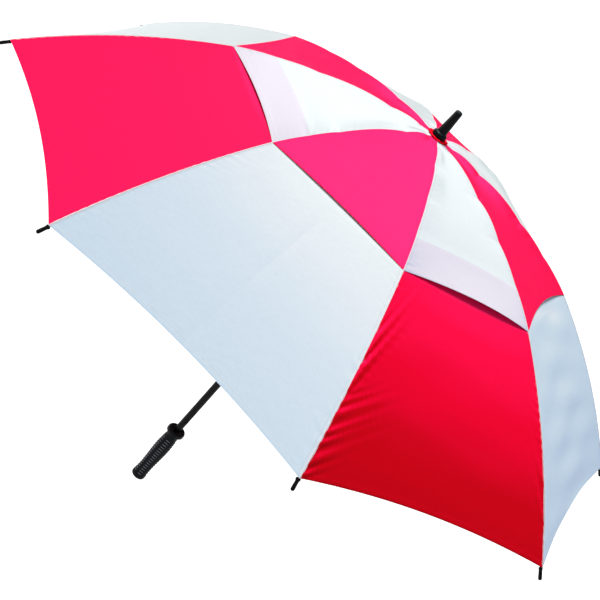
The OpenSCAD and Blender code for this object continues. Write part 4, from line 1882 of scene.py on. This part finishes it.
@dataclass
class Ferrule:
    """The moulded spike on top and the cloth rosette under it.

    Attributes:
        base: The height of its underside.
        tip: The height of its top.
        base_radius: The radius of its base.
        flutes: How many shallow flutes run up it.
        flute_depth: How deep they are, as a share of the radius.
        knurls: How many fine ridges go round its base.
        knurl_depth: How deep they are, as a share of the radius.
        rosette_bore: The rosette's inner radius.
        rosette_radius: The rosette's outer radius.
    """

    base: float
    tip: float
    base_radius: float = 13.8 * MM
    flutes: int = 12
    flute_depth: float = 0.015
    knurls: int = 40
    knurl_depth: float = 0.012
    rosette_bore: float = 7.3 * MM
    rosette_radius: float = 20.6 * MM

    def fluted(self, radius: np.ndarray, angle: np.ndarray, height: np.ndarray) -> np.ndarray:
        """Sinks shallow flutes into the spike's wall and fine knurling into its base.

        Args:
            radius: The wall's radius at each point.
            angle: Each point's direction in radians.
            height: Each point's height.

        Returns:
            The changed radius.
        """
        low = smooth_step(height, self.base + 11 * MM, self.base + 15 * MM)
        high = 1 - smooth_step(height, self.tip - 6 * MM, self.tip - 3.4 * MM)
        dip = 0.5 - 0.5 * np.cos(self.flutes * angle)
        wall = smooth_step(height, self.base + 1.2 * MM, self.base + 1.8 * MM)
        wall = wall * (1 - smooth_step(height, self.base + 6.0 * MM, self.base + 6.6 * MM))
        knurl = self.knurl_depth * (0.5 - 0.5 * np.cos(self.knurls * angle))
        return radius * (1 - self.flute_depth * dip * low * high - knurl * wall)

    def edges(self, radius: np.ndarray, angle: np.ndarray, height: np.ndarray) -> np.ndarray:
        """Marks where the painted highlights go: the shoulder, the rim of the tip and one long stripe.

        Args:
            radius: The wall's radius at each point.
            angle: Each point's direction in radians.
            height: Each point's height.

        Returns:
            A share from 0 to 1 for each point.
        """
        shoulder = np.exp(-(((height - self.base - 9.4 * MM) / (1.1 * MM)) ** 2))
        rim = np.exp(-(((height - self.tip + 1.2 * MM) / (1.4 * MM)) ** 2))
        stripe = np.exp(-(((angle - math.radians(292)) / 0.30) ** 2))
        stripe = stripe * smooth_step(height, self.base, self.tip)
        return np.clip(0.8 * shoulder + rim + 0.7 * stripe, 0, 1) * (radius > 0.3 * self.base_radius)

    def spike(self) -> None:
        """Makes the spike with its stepped base."""
        r, h, z = self.base_radius / MM, (self.tip - self.base) / MM, self.base / MM
        outline = rounded([
            (0.05, z, 0), (r - 0.9, z, 0.6), (r, z + 0.9, 0.7), (r - 0.3, z + 6.8, 0.9),
            (r - 1.4, z + 8.4, 1.2), (10.6, z + 9.2, 0.9), (9.6, z + 10.4, 0.9), (9.3, z + 14, 2.0),
            (8.1, z + 0.55 * h, 2.0), (7.0, z + h - 4.2, 2.5), (6.5, z + h - 1.7, 1.4),
            (5.0, z + h - 0.1, 1.6), (0.05, z + h, 0),
        ], 5) * MM
        long = np.concatenate([
            np.linspace(a, b, 9)[:-1] if abs(b[1] - a[1]) > 4 * MM else a[None]
            for a, b in zip(outline, outline[1:])
        ] + [outline[-1:]])
        # The marks set where the ferrule's painted highlights show.
        piece = lathe("ferrule_spike", long, 160, shaped=self.fluted, marked=self.edges, sharp=48)
        attach(piece, FERRULE_PLASTIC, "black_plastic", "ferrule")
        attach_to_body(piece, "shaft")

    def rosette(self) -> None:
        """Makes the ruffled cloth rosette that covers the crown's centre."""
        angle = np.linspace(0, 2 * math.pi, 145)[None, :]
        share = np.linspace(0, 1, 15)[:, None]
        wave = 0.55 * np.sin(9 * angle + 0.6) + 0.45 * np.sin(14 * angle) + 0.35 * np.sin(25 * angle)
        ruffle = share * wave
        radius = self.rosette_bore + share * (self.rosette_radius - self.rosette_bore) + 0.8 * MM * ruffle
        lip = smooth_step(share, 0.55, 0.85) * (1 - 0.75 * smooth_step(share, 0.85, 1.0))
        height = self.base - 1.1 * MM + 1.9 * MM * lip + 0.7 * MM * ruffle - 0.5 * MM * share
        under = np.stack([radius * np.cos(angle), radius * np.sin(angle), height], axis=-1)
        over = under + np.array([0, 0, 0.8 * MM])
        arc = radius * angle
        maps = {"cloth": np.stack([arc, radius + 0 * angle], axis=-1),
                "edges": np.stack([0.05 + 0 * arc, self.rosette_radius - radius], axis=-1)}
        piece = shell("rosette_cloth", over, under, maps)
        attach(piece, ROSETTE_CLOTH, "cloth_red", "rosette")
        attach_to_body(piece, "shaft")

    def build(self) -> None:
        """Makes the spike and its rosette."""
        self.spike()
        self.rosette()


# ---------------------------------------------------------------- carried CAD nodes


def dress_frame() -> None:
    """Gives every CAD node that stays in view its finish."""
    finishes: dict[str, Finish] = {
        "shaft_tube": SHAFT_ENAMEL,
        "crown_notch": BLACK_PLASTIC,
        "runner": BLACK_PLASTIC,
        "crown_wire": BRIGHT_WIRE,
        "runner_wire": BRIGHT_WIRE,
        "top_catch": SPRING_STRIP,
        "bottom_catch": SPRING_STRIP,
    }
    for rib in range(1, RIB_COUNT + 1):
        finishes[f"stretcher_{rib}"] = FRAME_ENAMEL
        finishes[f"rib_clip_{rib}"] = FRAME_ENAMEL
    for name, finish in finishes.items():
        node = frame["nodes"][name]
        if not node.material_slots:
            node.data.materials.append(None)
        for place in node.material_slots:
            place.material = finish.material()
        LOG.info("frame node %s: %s", name, finish.title)


# ---------------------------------------------------------------- studio


@dataclass(frozen=True)
class Studio:
    """The plain pale floor, the soft light and the camera.

    Attributes:
        key_strength: The key light's strength.
        key_angle: How wide the key light is, in degrees.
        key_colour: The key light's colour.
        side_strength: The strength of the cool light from one side.
        side_angle: How wide that light is, in degrees.
        side_colour: Its colour.
        fill_strength: The strength of the light from all round.
        fill_colour: The colour of that light.
        floor_drop: How far below the umbrella the floor lies.
        floor_half: Half the floor's width.
        target: The point that the camera looks at.
        azimuth: The camera's direction from the target, in degrees from +X.
        elevation: The camera's height above the horizon, in degrees.
        distance: The camera's distance from the target.
        roll: How far the camera is tilted, in degrees.
        lens: The camera's focal length in millimetres.
    """

    key_strength: float = 4.0
    key_angle: float = 24.0
    key_colour: Colour = (1.0, 0.985, 0.965)
    side_strength: float = 0.32
    side_angle: float = 60.0
    side_colour: Colour = (0.50, 0.78, 1.0)
    fill_strength: float = 0.26
    fill_colour: Colour = (0.90, 0.95, 1.0)
    floor_drop: float = 1.0
    floor_half: float = 45.0
    target: tuple[float, float, float] = (0.0026, 0.0096, 0.5154)
    azimuth: float = -15.22
    elevation: float = 23.73
    distance: float = 2.8242
    roll: float = 41.75
    lens: float = 92.15

    def floor(self) -> None:
        """Lays a wide matt floor well below the umbrella."""
        steps = 9
        line = np.linspace(-self.floor_half, self.floor_half, steps)
        x, y = np.meshgrid(line, line, indexing="ij")
        points = np.stack([x, y, np.full_like(x, -self.floor_drop)], axis=-1).reshape(-1, 3)
        at = np.arange(steps * steps).reshape(steps, steps)
        corners = (at[:-1, :-1], at[1:, :-1], at[1:, 1:], at[:-1, 1:])
        faces = np.stack([corner.ravel() for corner in corners], axis=1)
        piece = make_object("floor", points, faces.tolist())
        material = bpy.data.materials.new("floor paint")
        material.use_nodes = True
        surface = material.node_tree.nodes["Principled BSDF"]
        surface.inputs["Base Color"].default_value = (0.97, 0.97, 0.97, 1)
        surface.inputs["Roughness"].default_value = 1.0
        surface.inputs["Specular IOR Level"].default_value = 0.0
        piece.data.materials.append(material)

    def sun(self, name: str, strength: float, angle: float, colour: Colour, source: Direction) -> None:
        """Adds one wide, even light from a direction.

        Args:
            name: The light's name.
            strength: How strong it is.
            angle: How wide it is, in degrees.
            colour: Its colour.
            source: The direction that it comes from.
        """
        lamp = bpy.data.lights.new(name, "SUN")
        lamp.energy = strength
        lamp.angle = math.radians(angle)
        lamp.color = colour
        made = bpy.data.objects.new(name, lamp)
        made.rotation_mode = "QUATERNION"
        made.rotation_quaternion = Vector(source).to_track_quat("Z", "Y")
        bpy.context.scene.collection.objects.link(made)

    def light(self) -> None:
        """Sets a wide key light, a cool light from one side and an even fill."""
        self.sun("key", self.key_strength, self.key_angle, self.key_colour, LIGHT_FROM)
        self.sun("cool side", self.side_strength, self.side_angle, self.side_colour, SIDE_LIGHT_FROM)
        world = bpy.data.worlds.new("studio")
        world.use_nodes = True
        bpy.context.scene.world = world
        wires = Wiring(world.node_tree)
        world.node_tree.nodes.clear()
        fill = wires.node("Background")
        fill.inputs["Color"].default_value = (*self.fill_colour, 1)
        fill.inputs["Strength"].default_value = self.fill_strength
        backdrop = wires.node("Background")
        backdrop.inputs["Color"].default_value = (1, 1, 1, 1)
        choice = wires.node("MixShader")
        wires.feed(choice.inputs[0], wires.node("LightPath").outputs["Is Camera Ray"])
        wires.feed(choice.inputs[1], fill.outputs[0])
        wires.feed(choice.inputs[2], backdrop.outputs[0])
        out = wires.node("OutputWorld")
        wires.feed(out.inputs[0], choice.outputs[0])

    def camera(self) -> None:
        """Places the camera."""
        turn, rise = math.radians(self.azimuth), math.radians(self.elevation)
        back = Vector((math.cos(rise) * math.cos(turn), math.cos(rise) * math.sin(turn), math.sin(rise)))
        level = (-back).cross(Vector((0, 0, 1))).normalized()
        upright = level.cross(-back)
        tilt = math.radians(self.roll)
        right = level * math.cos(tilt) + upright * math.sin(tilt)
        up = upright * math.cos(tilt) - level * math.sin(tilt)
        data = bpy.data.cameras.new("camera")
        data.lens = self.lens
        data.sensor_width = 36.0
        data.clip_end = 200.0
        made = bpy.data.objects.new("camera", data)
        axes = Matrix((right, up, back)).transposed().to_4x4()
        made.matrix_world = Matrix.Translation(Vector(self.target) + back * self.distance) @ axes
        bpy.context.scene.collection.objects.link(made)
        bpy.context.scene.camera = made

    def build(self) -> None:
        """Sets up the whole studio."""
        bpy.context.scene.view_settings.view_transform = "Standard"
        bpy.context.scene.view_settings.look = "None"
        self.camera()
        self.light()
        self.floor()


def main() -> None:
    """Builds the umbrella's pieces in order."""
    logging.basicConfig(level=logging.INFO, format="%(message)s")
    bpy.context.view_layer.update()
    Studio().build()
    crown = next(joint for joint in frame["joints"] if joint["name"] == "canopy_fold")["pos_m"]
    line = RibLine(radius=float(crown[0]), height=float(crown[2]))
    canopy = Canopy(line)
    canopy.build()
    Ribs(line, canopy).build()
    Handle(top=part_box("handle_collar")[0].z).build()
    Ferrule(base=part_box("ferrule")[0].z, tip=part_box("ferrule")[1].z).build()
    dress_frame()


if __name__ == "__main__":
    main()
